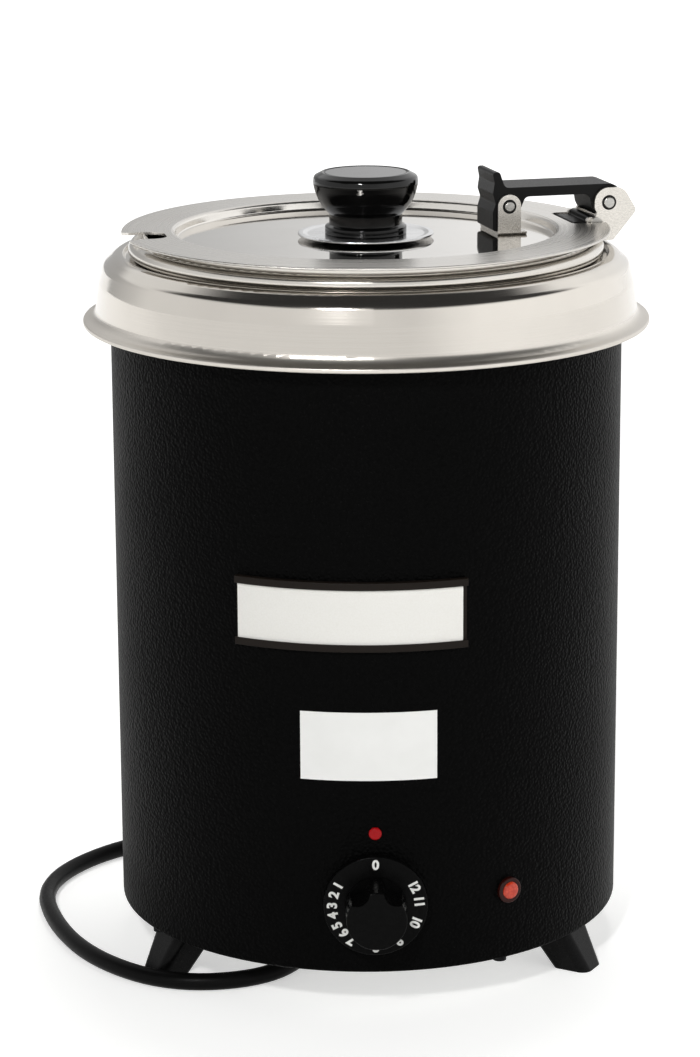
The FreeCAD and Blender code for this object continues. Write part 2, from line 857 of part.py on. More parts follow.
def least_self_gap(path, diameter):
    """Least clear gap between stretches of a tube that lie over four diameters apart along it."""
    count = int(path.Length / 3)
    points = path.discretize(Number=count)
    apart = int(4 * diameter / 3)
    least = min((points[i] - points[j]).Length for i in range(count) for j in range(i + apart, count))
    return least - diameter


def make_cord_coil():
    """Tied coil of the put-away length: two layers, one unbroken tube with straight ends."""
    step = 0.25
    total = 2 * coil_turns + 0.5
    knots = [i * step for i in range(int(total / step) + 1)]
    headings = [(coil_place(k + 0.01) - coil_place(k - 0.01)).normalize() for k in knots]
    headings[0] = V(1, 0, 0)
    headings[-1] = V(-1, 0, 0)
    edges = [Part.LineSegment(lead_end, coil_place(0)).toShape()]
    for i in range(len(knots) - 1):
        edges += biarc(coil_place(knots[i]), headings[i], coil_place(knots[i + 1]), headings[i + 1])
    tail_start = coil_place(knots[-1])
    edges.append(Part.LineSegment(tail_start, tail_start + headings[-1] * coil_tail).toShape())
    path = Part.Wire(edges)
    print("cord_coil least self gap", round(least_self_gap(path, cord_d), 2))
    return tube(path, cord_r, "cord_coil")


def make_cord_tie():
    """Strap round the bundle at the coil's left side."""
    mid_r = (coil_outer_r + coil_inner_r) / 2 - coil_pitch / 4
    half = coil_pitch / 2 + cord_r + 0.5
    middle = coil_across - mid_r
    low = tie_sheet + 0.1
    high = coil_high + cord_r + 0.3
    def place(y):
        return lambda x, z: V(x, y, z)
    inner = [(middle - half, low, 3), (middle + half, low, 3),
             (middle + half, high, 3), (middle - half, high, 3)]
    t = tie_sheet
    outer = [(middle - half - t, low - t, 4), (middle + half + t, low - t, 4),
             (middle + half + t, high + t, 4), (middle - half - t, high + t, 4)]
    y = coil_y - tie_width / 2
    band = Part.Face(outline(outer, place(y))).extrude(V(0, tie_width, 0))
    return band.cut(Part.Face(outline(inner, place(y - 1))).extrude(V(0, tie_width + 2, 0)))


def make_plug_body():
    """Moulded plug lying on the floor behind the coil."""
    axis = V(-1, 0, 0)
    start = V(plug_x, plug_y, coil_high)
    neck = start + axis * plug_relief
    relief = Part.makeCone(cord_r + 1.2, 8.0, plug_relief, start, axis)
    shoulder = Part.makeCone(8.0, plug_d / 2, 8.0, neck, axis)
    body = rod(plug_d / 2, neck + axis * 8.0, neck + axis * plug_length)
    plug = relief.fuse([shoulder, body]).removeSplitter()
    for start_point, end_point in pin_ends(neck + axis * plug_length, 8.0):
        plug = plug.cut(rod(pin_r + 0.02, start_point, end_point))
    return plug


def pin_ends(face, depth):
    """Start and end of each contact pin, sunk into the plug's face by a depth."""
    ends = []
    for side in (-1, 1):
        middle = face + V(0, side * pin_spread / 2, 0)
        ends.append((middle + V(depth, 0, 0), middle - V(pin_length, 0, 0)))
    return ends


def make_plug_pins():
    face = V(plug_x - plug_relief - plug_length, plug_y, coil_high)
    pins = []
    for start, end in pin_ends(face, 7.9):
        pin = rod(pin_r, start, end)
        tip = [e for e in pin.Edges if e.BoundBox.XMax < end.x + 0.01]
        pins.append(pin.makeFillet(1.2, tip))
    return Part.Compound(pins)


# Label on the front

def make_label_holder():
    """Curved channel: back strip with a rail along the top and the bottom."""
    low = label_bottom
    high = label_bottom + label_h
    lip_in = channel_r + channel_depth
    lip_out = lip_in + rail_lip
    return turned([
        (label_r, low, 0), (lip_out, low, 0.5), (lip_out, low + rail_h, 0), (lip_in, low + rail_h, 0),
        (lip_in, low + rail_wall, 0), (channel_r, low + rail_wall, 0),
        (channel_r, high - rail_wall, 0), (lip_in, high - rail_wall, 0),
        (lip_in, high - rail_h, 0), (lip_out, high - rail_h, 0), (lip_out, high, 0.5), (label_r, high, 0)],
        label_to - label_from, label_from)


def make_label_card():
    """Blank card held in the channel."""
    inner = channel_r + seat
    low = label_bottom + rail_wall + seat
    high = label_bottom + label_h - rail_wall - seat
    end_gap = 0.5
    return turned([
        (inner, low, 0), (inner + card_thickness, low, 0),
        (inner + card_thickness, high, 0), (inner, high, 0)],
        label_to - label_from - 3 * end_gap, label_from + end_gap)


def make_blank_label():
    """Plain sticker on the wall below the channel."""
    inner = label_r
    outer = inner + sticker_thickness
    return turned([
        (inner, sticker_bottom, 0), (outer, sticker_bottom, 0),
        (outer, sticker_bottom + sticker_h, 0), (inner, sticker_bottom + sticker_h, 0)],
        sticker_sweep, sticker_azimuth - sticker_sweep / 2)


# Food pot, its hinge bracket and the arm

def make_inset_pot():
    """Drawn pot: tapered wall folded over at the mouth, then a shelf that runs out to a rolled bead."""
    wall_in = pot_r - pot_sheet
    hem_out = wall_in + hem_thickness
    bottom_r = pot_r - pot_taper
    shelf_z = bead_top - shelf_drop
    shelf_under = shelf_z - pot_sheet
    bend_z = bead_z - 3.0
    pot = turned([
        (0, pot_bottom, 0), (bottom_r, pot_bottom, pot_corner), (pot_r, bend_z, 6.0),
        (pot_r, shelf_under, 0.6), (bead_s, shelf_under, 0), (bead_s, shelf_z, 0),
        (hem_out, shelf_z, 0.8), (hem_out, rim_top, 0.8), (wall_in, rim_top, 0.8), (wall_in, bend_z, 6.0),
        (bottom_r - pot_sheet, pot_bottom + pot_sheet, pot_corner - pot_sheet),
        (0, pot_bottom + pot_sheet, 0)])
    bead = Part.Face(Part.Wire(Part.makeCircle(bead_r, meridian(bead_s, bead_z), V(1, 0, 0))))
    return pot.fuse(bead.revolve(ORIGIN, UP, 360)).removeSplitter()


def make_rim_clamp():
    """Black saddle over the pot's rim: inner tongue, bridge with a sloping top, outer lip."""
    half = plate_in - fit
    tongue_out = math.sqrt((pot_r - pot_sheet) ** 2 - half ** 2) - 0.9
    outer_in = bead_out + 0.6
    tongue_z = flange_top - 0.1
    hump_s = clamp_inner_s + 7.0
    hump_z = flange_top + 2.4
    tongue_end = rim_top - 14.0
    saddle = hinge_slab([
        (clamp_inner_s, tongue_end, 1.0), (clamp_inner_s, tongue_z, 0.6),
        (hump_s, tongue_z, 0.6), (hump_s, hump_z, 0.8),
        (hump_s + 3.0, hump_z, 1.5), (clamp_outer_s - 6.0, flange_top + 0.6, 2.0),
        (clamp_outer_s, flange_top - 1.0, 1.5), (clamp_outer_s, crest_z + 1.0, 0.8),
        (outer_in, crest_z + 1.0, 0.8), (outer_in, bead_top + 0.4, 0.8),
        (tongue_out + 5.0, rim_top + 0.4, 0.5), (tongue_out, rim_top + 0.4, 0.5),
        (tongue_out, tongue_end, 1.0)], -half, half)
    hole_r = clamp_screw_r + 0.02
    screw_depth = half - 9.0
    for side in (-1, 1):
        start = side * screw_depth
        saddle = saddle.cut(hinge_rod(hole_r, clamp_screw_s, clamp_screw_z, start, side * through))
    return saddle


def make_hinge_plate(w_from):
    """Dog-leg side plate: round eye for the pin, outer elbow, foot lug on the saddle."""
    eye = arm_eye_r
    lug_s = clamp_screw_s - 4.6
    plate = hinge_slab([
        (arm_pin_s - eye, pin_z + eye, eye - 0.2), (arm_pin_s + eye, pin_z + eye, eye - 0.4),
        (arm_pin_s + 14.0, pin_z - 4.2, 2.5), (clamp_outer_s - 0.4, crest_z + 1.2, 1.2),
        (bead_out + 1.0, crest_z + 1.2, 0.6), (bead_out + 1.0, bead_top + 1.2, 0.6),
        (bead_s - 0.3, bead_top + 1.2, 0.6), (lug_s + 0.8, rim_top + 0.5, 0.4), (lug_s, rim_top + 0.5, 0.3),
        (lug_s, clamp_screw_z + 3.2, 2.0),
        (arm_pin_s - 2.6, pin_z - 8.2, 2.0),
        (arm_pin_s - eye, pin_z - 3.0, 3.0)], w_from, w_from + plate_sheet)
    plate = plate.cut(hinge_rod(arm_pin_d / 2 + 0.02, arm_pin_s, pin_z, -through, through))
    for side in (-1, 1):
        depth = side * (plate_out - plate_sheet / 2)
        plate = plate.cut(hinge_rod(arm_pin_d / 2 + pin_recess, arm_pin_s, pin_z, depth, side * through))
    return plate.cut(hinge_rod(clamp_screw_r + 0.02, clamp_screw_s, clamp_screw_z, -through, through))


def make_clamp_screws():
    """Round-head screws through the plates' lugs into the saddle."""
    screws = []
    inner = plate_in - fit - 8.8
    for side in (-1, 1):
        face = plate_out + 0.02
        shank = hinge_rod(clamp_screw_r, clamp_screw_s, clamp_screw_z, side * inner, side * face)
        head = hinge_rod(2.8, clamp_screw_s, clamp_screw_z, side * face, side * (face + screw_head_h))
        screws.append(shank.fuse(head).removeSplitter())
    return Part.Compound(screws)


def cross_pin(radius, s, end):
    """Pin across the hinge with rounded ends."""
    pin = hinge_rod(radius, s, pin_z, -end, end)
    return pin.makeFillet(0.6, [e for e in pin.Edges if len(e.Vertexes) == 1])


def make_arm_pin():
    """Plain pin pressed through both plates, on which the arm turns."""
    return cross_pin(arm_pin_d / 2, arm_pin_s, plate_out + pin_proud)


def pin_rings(radius, s, face, sheet):
    """Black retaining rings pressed into the recess round each end of a pin."""
    rings = []
    for side in (-1, 1):
        start = side * (face - sheet / 2 + 0.02)
        end = side * (face - ring_sunk)
        band = hinge_rod(radius + pin_recess - 0.03, s, pin_z, start, end)
        rings.append(band.cut(hinge_rod(radius + 0.03, s, pin_z, -through, through)))
    return Part.Compound(rings)


def make_arm_pin_rings():
    return pin_rings(arm_pin_d / 2, arm_pin_s, plate_out, plate_sheet)


def make_hinge_arm():
    """Black arm: flat bar, eye on the bracket's pin and a deep block with a thumb tab at the knob's side."""
    top = pin_z + arm_top
    under = top - arm_plate
    eye = arm_eye_r
    left = lid_pin_s - block_reach
    right = lid_pin_s + lid_eye_r
    low = clevis_base + ear_sheet + block_gap
    arm = hinge_slab([
        (left - 0.2, top + tab_rise, 1.2), (left + tab_thickness, top + tab_rise, 1.4),
        (left + tab_thickness + 2.6, top, 3.0), (arm_pin_s + eye, top, eye - 0.2),
        (arm_pin_s + eye, pin_z - eye, eye - 0.2), (arm_pin_s - eye, pin_z - eye, eye - 0.6),
        (arm_pin_s - eye - 2.0, under, 3.0), (right + 3.0, under, 3.0), (right, pin_z - 3.0, 2.5),
        (lid_pin_s - 1.5, low, 1.0), (left, low, 1.2), (left, pin_z - 3.0, 3.0),
        (left + 1.4, pin_z + 1.5, 3.0), (left, pin_z + 6.0, 3.0),
        (left + 0.8, top + 2.4, 2.0)], -arm_half, arm_half)
    arm = arm.cut(hinge_rod(lid_pin_d / 2 + run, lid_pin_s, pin_z, -through, through))
    return arm.cut(hinge_rod(arm_pin_d / 2 + run, arm_pin_s, pin_z, -through, through))


# Lid

def make_lid():
    """Pressed lid: sunk polished panel, raised flange, ladle notch and a cut-out for the hinge saddle."""
    rise_r = panel_r + step_run
    lag = lid_sheet * math.tan(math.atan2(panel_drop, step_run) / 2)
    lid = turned([
        (0, panel_z, 0), (panel_r + lag, panel_z, 1.8), (rise_r + lag, flange_z, 0.9), (lid_r, flange_z, 0.5),
        (lid_r, flange_top, 0.5), (rise_r, flange_top, 1.8), (panel_r, panel_top, 0.9), (0, panel_top, 0)])
    half = notch_width / 2
    inner = lid_r - notch_depth
    slot = [(inner, -half, 7), (lid_r - 3, -half, 3), (lid_r + 4, -half - 4, 0), (lid_r + 4, half + 8, 0),
            (lid_r - 7, half, 6), (inner, half, 7)]
    notch = Part.Face(outline(slot, flat(panel_z - 5))).extrude(UP * 20)
    notch.rotate(ORIGIN, UP, notch_azimuth - 90)
    gap = [(cutout_s, -cutout_half, 3), (lid_r + 10, -cutout_half, 0), (lid_r + 10, cutout_half, 0),
           (cutout_s, cutout_half, 3)]
    cutout = Part.Face(outline(gap, flat(panel_z - 5))).extrude(UP * 20)
    cutout.rotate(ORIGIN, UP, hinge_azimuth - 90)
    lid = lid.cut(notch).cut(cutout)
    lid = lid.cut(rod(knob_screw_d / 2 + fit, V(0, 0, panel_z - 1), V(0, 0, panel_top + 1)))
    for side in (-1, 1):
        point = hinge_point(rivet_s, side * rivet_spread, panel_z - 1)
        lid = lid.cut(rod(rivet_r + 0.02, point, point + UP * 4))
    return lid


def make_lid_clevis():
    """Bent steel bracket on the lid: floor and two round-topped ears with a recess round the pin."""
    half = lid_eye_r + seat
    front = lid_pin_s - half
    back = lid_pin_s + half
    floor_top = clevis_base + ear_sheet
    bracket = hinge_slab([(front, clevis_base, 0), (back + 3.0, clevis_base, 0), (back + 3.0, floor_top, 0),
                          (front, floor_top, 0)], -ear_out, ear_out)
    for side in (-1, 1):
        ear = hinge_slab([(front, clevis_base, 0), (back, clevis_base, 0), (back, pin_z + half, half - 0.1),
                          (front, pin_z + half, half - 0.1)], side * ear_in, side * ear_out)
        depth = side * (ear_out - ear_sheet / 2)
        recess = hinge_rod(lid_pin_d / 2 + pin_recess, lid_pin_s, pin_z, depth, side * through)
        bracket = bracket.fuse(ear.cut(recess))
    bracket = bracket.removeSplitter()
    across = hinge_point(0, 1, 0)
    folds = []
    for edge in bracket.Edges:
        corners = [v.Point for v in edge.Vertexes]
        low = all(abs(point.z - clevis_base) < 0.01 for point in corners)
        outside = all(abs(abs(point.dot(across)) - ear_out) < 0.01 for point in corners)
        if low and outside and edge.Length < 2 * ear_out - 1:
            folds.append(edge)
    bracket = bracket.makeFillet(fold_r, folds)
    bracket = bracket.cut(hinge_rod(lid_pin_d / 2 + 0.02, lid_pin_s, pin_z, -through, through))
    for side in (-1, 1):
        point = hinge_point(rivet_s, side * rivet_spread, clevis_base - 1)
        bracket = bracket.cut(rod(rivet_r + 0.02, point, point + UP * 5))
    return bracket


def make_clevis_rivets():
    """Two rivets through the lid's panel and the bracket's floor."""
    head_h = 1.0
    top = clevis_base + ear_sheet + 0.02
    bottom = panel_z - 0.02
    rivets = []
    for side in (-1, 1):
        foot_end = hinge_point(rivet_s, side * rivet_spread, bottom - head_h)
        foot_seat = hinge_point(rivet_s, side * rivet_spread, bottom)
        head_seat = hinge_point(rivet_s, side * rivet_spread, top)
        head = rod(rivet_head_r, head_seat, head_seat + UP * head_h)
        foot = rod(rivet_head_r, foot_end, foot_seat)
        rivets.append(rod(rivet_r, foot_end, head_seat).fuse([head, foot]).removeSplitter())
    return Part.Compound(rivets)


def make_clevis_pin():
    """Pin pressed through the ears, on which the arm's eye turns."""
    return cross_pin(lid_pin_d / 2, lid_pin_s, ear_out + pin_proud)


def make_clevis_pin_rings():
    return pin_rings(lid_pin_d / 2, lid_pin_s, ear_out, ear_sheet)


def make_knob_plate():
    """Chromed saucer between the lid and its knob: small foot, flared underside and a rounded rim."""
    rim = knob_plate_d / 2
    rim_low = plate_z + saucer_lift
    rim_high = rim_low + saucer_rim_h
    top = plate_z + knob_plate_h
    return turned([
        (screw_r + fit, plate_z, 0), (saucer_foot_d / 2, plate_z, 1.0), (rim - 3.0, rim_low, 3.0),
        (rim, rim_low, 0.5), (rim, rim_high, 0.55), (rim - 2.4, rim_high, 0.8), (rim - 4.4, top, 1.5),
        (screw_r + fit, top, 0)])


def make_lid_knob():
    """Turned black knob: flared base, short neck, convex bowl, rounded crown and a flat top with a groove."""
    base_r = knob_base_d / 2
    neck_r = knob_neck_d / 2
    crown_r = knob_d / 2
    top_r = knob_top_d / 2
    top = knob_z + knob_h
    groove = top_r - 0.6
    bore_end = knob_z + 15.0
    bore_r = screw_r + 0.03
    return turned([
        (bore_r, knob_z, 0), (base_r, knob_z, 0.6), (base_r, knob_z + 3.6, 0.8), (neck_r, knob_z + 4.6, 0.3),
        (neck_r, knob_z + 9.4, 0.2), (crown_r - 5.3, knob_z + 12.0, 15.0),
        (crown_r - 2.9, knob_z + 15.4, 15.0),
        (crown_r - 1.1, knob_z + 20.0, 20.0), (crown_r, top - 4.6, 4.0), (crown_r - 0.6, top - 1.8, 2.2),
        (top_r, top, 0.8), (groove, top, 0.15), (groove - 0.3, top - 0.5, 0.15),
        (groove - 0.9, top - 0.5, 0.15), (groove - 1.2, top - 0.2, 0.15),
        (0, top - 0.2, 0), (0, bore_end, 0), (bore_r, bore_end, 0)])


def make_knob_washer():
    return ring(7.0, screw_r + fit, panel_z - washer_h - 0.02, washer_h)


def make_knob_screw():
    """Pan screw up through the washer, the lid and the plate into the knob."""
    seat_z = panel_z - washer_h - 0.04
    screw = pan_screw(4.6, 3.0, screw_r, knob_z + 14.0 - seat_z)
    screw.rotate(ORIGIN, V(1, 0, 0), 180)
    screw.translate(V(0, 0, seat_z))
    return screw


nodes = {
    "body_shell": make_body_shell(),
    "collar": make_collar(),
    "base_plate": make_base_plate(),
    "base_screws": make_base_screws(),
    "foot_screws": make_foot_screws(),
    "water_well": make_water_well(),
    "insulation_wrap": make_insulation_wrap(),
    "bath_studs": make_bath_studs(),
    "heat_spreader": make_heat_spreader(),
    "heating_element": make_heating_element(),
    "element_clamp": make_element_clamp(),
    "clamp_nuts": make_clamp_nuts(),
    "overheat_cutout": make_overheat_cutout(),
    "sensor_bulb": make_sensor_bulb(),
    "capillary_tube": make_capillary_tube(),
    "thermostat_case": make_thermostat_case(),
    "thermostat_shaft": make_thermostat_shaft(),
    "thermostat_screws": make_thermostat_screws(),
    "dial_knob": make_dial_knob(),
    "index_pip": make_index_pip(),
    "pilot_case": make_pilot_case(),
    "pilot_bezel": make_pilot_bezel(),
    "pilot_lens": make_pilot_lens(),
    "pilot_clip": make_pilot_clip(),
    "terminal_block": make_terminal_block(),
    "terminal_screws": make_terminal_screws(),
    "wire_element": make_wire_element(),
    "wire_thermostat": make_wire_thermostat(),
    "wire_lamp": make_wire_lamp(),
    "cord_gland": make_cord_gland(),
    "cord_lead": make_cord_lead(),
    "cord_coil": make_cord_coil(),
    "cord_tie": make_cord_tie(),
    "plug_body": make_plug_body(),
    "plug_pins": make_plug_pins(),
    "label_holder": make_label_holder(),
    "label_card": make_label_card(),
    "blank_label": make_blank_label(),
    "inset_pot": make_inset_pot(),
    "rim_clamp": make_rim_clamp(),
    "hinge_plate_front": make_hinge_plate(plate_in),
    "hinge_plate_rear": make_hinge_plate(-plate_out),
    "clamp_screws": make_clamp_screws(),
    "arm_pin": make_arm_pin(),
    "arm_pin_rings": make_arm_pin_rings(),
    "hinge_arm": make_hinge_arm(),
    "lid": make_lid(),
    "lid_clevis": make_lid_clevis(),
    "clevis_rivets": make_clevis_rivets(),
    "clevis_pin": make_clevis_pin(),
    "clevis_pin_rings": make_clevis_pin_rings(),
    "knob_plate": make_knob_plate(),
    "lid_knob": make_lid_knob(),
    "knob_washer": make_knob_washer(),
    "knob_screw": make_knob_screw(),
}
for name, azimuth in foot_azimuths.items():
    nodes[name] = make_foot(azimuth)

# The dial reaches further forward than the lip does, so the axis stands behind the middle of the box
dial_front = body_r + skirt_back + skirt_h + grip_h
to_middle = V(0, (dial_front - lip_r) / 2, 0)
print("axis stands", round(to_middle.y, 2), "behind the middle")

os.makedirs("parts", exist_ok=True)
for name, shape in nodes.items():
    shape.translate(to_middle)
    box = shape.BoundBox
    print(name, "valid", shape.isValid(), "solids", len(shape.Solids), "volume", round(shape.Volume, 1),
          "z", round(box.ZMin, 2), round(box.ZMax, 2))
    shape.exportStep("parts/" + name + ".step")
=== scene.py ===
# %% [markdown]
# # A counter-top soup kettle, dressed on its CAD frame
#
# The kettle is a black coated steel drum with a bright spun collar, an inset pot,
# a hinged lid and a few controls low on the front. The CAD frame already holds
# every rigid piece at its true place, so this lesson adds what the frame lacks:
# real finishes, the flexible mains lead with its plug and strap, the printed
# numbers of the dial, and then a floor, soft light and a camera.

# %% Load the frame
import math
import bmesh
import bpy
from mathutils import Matrix, Vector


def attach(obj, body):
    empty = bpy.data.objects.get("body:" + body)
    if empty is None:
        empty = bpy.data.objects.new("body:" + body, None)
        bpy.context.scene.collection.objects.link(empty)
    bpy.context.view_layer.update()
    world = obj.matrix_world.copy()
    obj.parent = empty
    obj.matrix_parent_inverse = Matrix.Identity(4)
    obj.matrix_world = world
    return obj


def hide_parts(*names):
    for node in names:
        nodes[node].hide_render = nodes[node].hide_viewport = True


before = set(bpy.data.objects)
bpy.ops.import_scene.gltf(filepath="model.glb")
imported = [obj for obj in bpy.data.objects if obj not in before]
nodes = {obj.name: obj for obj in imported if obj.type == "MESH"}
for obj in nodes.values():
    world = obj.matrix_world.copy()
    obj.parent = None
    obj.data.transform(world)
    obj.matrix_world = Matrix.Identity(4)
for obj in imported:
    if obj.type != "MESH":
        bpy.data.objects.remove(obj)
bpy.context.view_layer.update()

MM = 0.001
axis_back = 6.4  # mm from the frame's origin back to the kettle's own axis
kettle_axis = Vector((0, axis_back, 0)) * MM
scene = bpy.context.scene

# %% [markdown]
# ## Camera
#
# The picture to match was taken from a little above the lid with a long lens, so
# the upright sides of the drum hardly converge. The kettle's front faces -Y. The
# camera stands 1.55 m away and looks 14 degrees down. Its turn, tilt and small
# roll are applied one after the other, which is easier to follow than one set of
# Euler angles. The picture is upright, so the sensor's 36 mm lie along its height.

# %% Camera
photo_height = 1057
focal_in_pixels = 3289.0
turn_degrees, down_degrees, roll_degrees = -1.196, 14.22, -0.304
camera_from_axis = Vector((-0.0406, -1.5495, 0.5976))
camera_data = bpy.data.cameras.new("camera")
camera_data.sensor_width = 36.0
camera_data.lens = focal_in_pixels / photo_height * camera_data.sensor_width
camera = bpy.data.objects.new("camera", camera_data)
scene.collection.objects.link(camera)
turn = Matrix.Rotation(math.radians(turn_degrees), 4, "Z")
tilt = Matrix.Rotation(math.radians(90 - down_degrees), 4, "X")
roll = Matrix.Rotation(math.radians(roll_degrees), 4, "Z")
stand = Matrix.Translation(kettle_axis + camera_from_axis)
camera.matrix_world = stand @ turn @ tilt @ roll
scene.camera = camera
scene.view_settings.view_transform = "Standard"
print("lens", round(camera_data.lens, 1), "mm")

# %% [markdown]
# ## Mains lead
#
# The lead is a round cable in a black sheath, 8.4 mm thick and about 1.8 m long.
# It leaves a strain relief under the base, drops to the table, sweeps round the
# left side and ends in a tied coil behind the kettle. A NURBS curve of order
# three bends as evenly as real cable does, where a poly-line would look like bent
# wire. Most of its control points are given as an azimuth from the front and a
# gap from the jacket, which is how one would describe the sweep in words. The
# turns of the coil come from a loop.

# %% Lead route
cord_d = 8.4 * MM
jacket_r = 122.0
on_floor = 4.3  # mm from the floor to the middle of the lead


def round_axis(radius, azimuth, height):
    """Point in metres at a radius and height in mm, and an azimuth from the front."""
    angle = math.radians(azimuth)
    around = Vector((radius * math.sin(angle), -radius * math.cos(angle), height))
    return kettle_axis + around * MM


under_base = [(-9, 22, 13), (-11.94, 7.29, 13), (-17.5, -16, 7.4), (-28, -44, on_floor)]
sweep = [(-32, -27.7, 0), (-47.9, 6.9, 0), (-67.9, 22.5, 0), (-88, 34.8, 0), (-106.6, 51.7, 0),
         (-124.6, 49.4, 0), (-142.9, 35.9, 0), (-162.8, 21.6, 0), (179.6, 16.4, 0.4)]
into_coil = [(27.6, 136, 5.7), (51.6, 136, 5.7)]
route = [kettle_axis + Vector(point) * MM for point in under_base]
route += [round_axis(jacket_r + gap, azimuth, on_floor + rise) for azimuth, gap, rise in sweep]
route += [kettle_axis + Vector(point) * MM for point in into_coil]
print("points before the coil:", len(route))

# %% Coil of the put-away length
# Two turns wind inwards below, half a turn climbs, and two wind outwards on top.
coil_x, coil_y = 60.0, 188.0
coil_outer, coil_inner, coil_pitch = 52.0, 33.6, 9.2
coil_low, coil_high = 5.7, 14.9
points_per_turn = 20
turns_in, climb_turns, climb_dip = 2, 0.5, 2
for step in range(int((2 * turns_in + climb_turns) * points_per_turn) + 1):
    turns = step / points_per_turn
    climb = min(max((turns - turns_in) / climb_turns, 0.0), 1.0)
    if turns <= turns_in:
        radius = coil_outer - coil_pitch * turns
    elif climb < 1:
        radius = coil_inner - climb_dip * math.sin(math.pi * climb)
    else:
        radius = coil_inner + coil_pitch * (turns - turns_in - climb_turns)
    angle = 2 * math.pi * turns - math.pi / 2
    height = coil_low + (coil_high - coil_low) * climb * climb * (3 - 2 * climb)
    point = (coil_x + radius * math.cos(angle), coil_y + radius * math.sin(angle), height)
    route.append(kettle_axis + Vector(point) * MM)
straight_x, plug_x, plug_y = 39, 18.0, 240.0
route += [kettle_axis + Vector((x, plug_y, coil_high)) * MM for x in (straight_x, plug_x)]
print("control points in all:", len(route))

# %% Lead curve
lead_curve = bpy.data.curves.new("mains_lead", "CURVE")
lead_curve.dimensions = "3D"
spline = lead_curve.splines.new("NURBS")
spline.points.add(len(route) - 1)
for point, place in zip(spline.points, route):
    point.co = (*place, 1)
    point.radius = cord_d / 2
spline.order_u = 3
spline.use_endpoint_u = True
lead_curve.resolution_u = 8
lead_curve.bevel_depth = 1.0
lead_curve.bevel_resolution = 5
lead_curve.use_fill_caps = True
mains_lead = bpy.data.objects.new("mains_lead", lead_curve)
scene.collection.objects.link(mains_lead)
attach(mains_lead, "housing")
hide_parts("cord_lead", "cord_coil")
print("lead bevelled to", round(cord_d / MM, 1), "mm")

# %% [markdown]
# ## Colours and nodes
#
# Paint colours are easiest to judge as the hex codes of a screen, while shaders
# work in linear light, so one function converts them. One more small function
# adds a node, sets it and links it, which keeps each material short. A third
# starts a material and hands back the Object coordinates that its patterns read.
# A Mix node has a set of sockets for numbers, one for vectors and one for colours,
# all with the same names, so they are reached by their place in the list.

# %% Helpers for materials
FACTOR, NUMBER_A, NUMBER_B, VECTOR_A, VECTOR_B, COLOUR_A, COLOUR_B = 0, 2, 3, 4, 5, 6, 7
NUMBER, VECTOR, COLOUR = 0, 1, 2


def linear(code):
    """Linear RGBA of an sRGB hex colour."""
    channels = [int(code[i:i + 2], 16) / 255 for i in (1, 3, 5)]
    return [c / 12.92 if c <= 0.04045 else ((c + 0.055) / 1.055) ** 2.4 for c in channels] + [1.0]


def node(tree, kind, inputs=(), **settings):
    """Adds a node; each input is a value, or the output socket that feeds it."""
    made = tree.nodes.new(kind)
    for key, value in settings.items():
        setattr(made, key, value)
    for socket, value in dict(inputs).items():
        if isinstance(value, bpy.types.NodeSocket):
            tree.links.new(value, made.inputs[socket])
        else:
            made.inputs[socket].default_value = value
    return made


def new_finish(name, **sockets):
    """New material; the keywords set its shader's own sockets."""
    material = bpy.data.materials.new(name)
    material.use_nodes = True
    tree = material.node_tree
    shader = tree.nodes["Principled BSDF"]
    for socket, value in sockets.items():
        shader.inputs[socket.replace("_", " ")].default_value = value
    place = tree.nodes.new("ShaderNodeTexCoord").outputs["Object"]
    return material, tree, shader, place


def dress(finish, *names):
    """Gives a finish to CAD nodes."""
    for name in names:
        nodes[name].data.materials[0] = finish
    print(finish.name, "on", ", ".join(names) or "a piece that comes later")


print("screen grey #808080 is", round(linear("#808080")[0], 3), "in linear light")

# %% [markdown]
# ## Wrinkle powder coat
#
# The jacket is mild steel sheet, rolled to a drum and sprayed with black wrinkle
# powder. In the oven the skin of the powder sets before the rest and shrinks into
# a fine pebbled net. The pebbles are near 1 mm wide; they are drawn 1.5 mm wide,
# the least that shows in the picture. A smooth Voronoi pattern gives round pebbles
# with sharp valleys between them, which plain noise doesn't. A little noise in the
# place that the pattern reads keeps the pebbles from looking like a grid.

# %% Wrinkle coat
# To the eye: deep black, with a dull sheen only where the wall turns away.
pebble_size, pebble_depth = 1.5, 0.6
wander_size, wander_share = 3, 0.0012
rub_size = 60
wrinkle, tree, shader, place = new_finish("wrinkle_powder_coat", Specular_IOR_Level=0.022)
wander = node(tree, "ShaderNodeTexNoise",
              {"Vector": place, "Scale": 1 / (wander_size * MM), "Detail": 2.0})
bent = node(tree, "ShaderNodeMix",
            {FACTOR: wander_share, VECTOR_A: place, VECTOR_B: wander.outputs["Color"]},
            data_type="VECTOR")
pebbles = node(tree, "ShaderNodeTexVoronoi",
               {"Vector": bent.outputs[VECTOR], "Scale": 1 / (pebble_size * MM),
                "Smoothness": 0.7}, feature="SMOOTH_F1").outputs["Distance"]
relief = node(tree, "ShaderNodeBump",
              {"Height": pebbles, "Strength": 0.9, "Distance": pebble_depth * MM}, invert=True)
tree.links.new(relief.outputs["Normal"], shader.inputs["Normal"])
# Painted shade: the valleys between the pebbles are painted darker than their tops.
tone = node(tree, "ShaderNodeMix",
            {FACTOR: pebbles, COLOUR_A: linear("#070707"), COLOUR_B: linear("#030303")},
            data_type="RGBA")
tree.links.new(tone.outputs[COLOUR], shader.inputs["Base Color"])
rub = node(tree, "ShaderNodeTexNoise",
           {"Vector": place, "Scale": 1 / (rub_size * MM), "Detail": 4.0})
dull = node(tree, "ShaderNodeMapRange",
            {"Value": rub.outputs["Fac"], "To Min": 0.36, "To Max": 0.5})
tree.links.new(dull.outputs["Result"], shader.inputs["Roughness"])
dress(wrinkle, "body_shell")

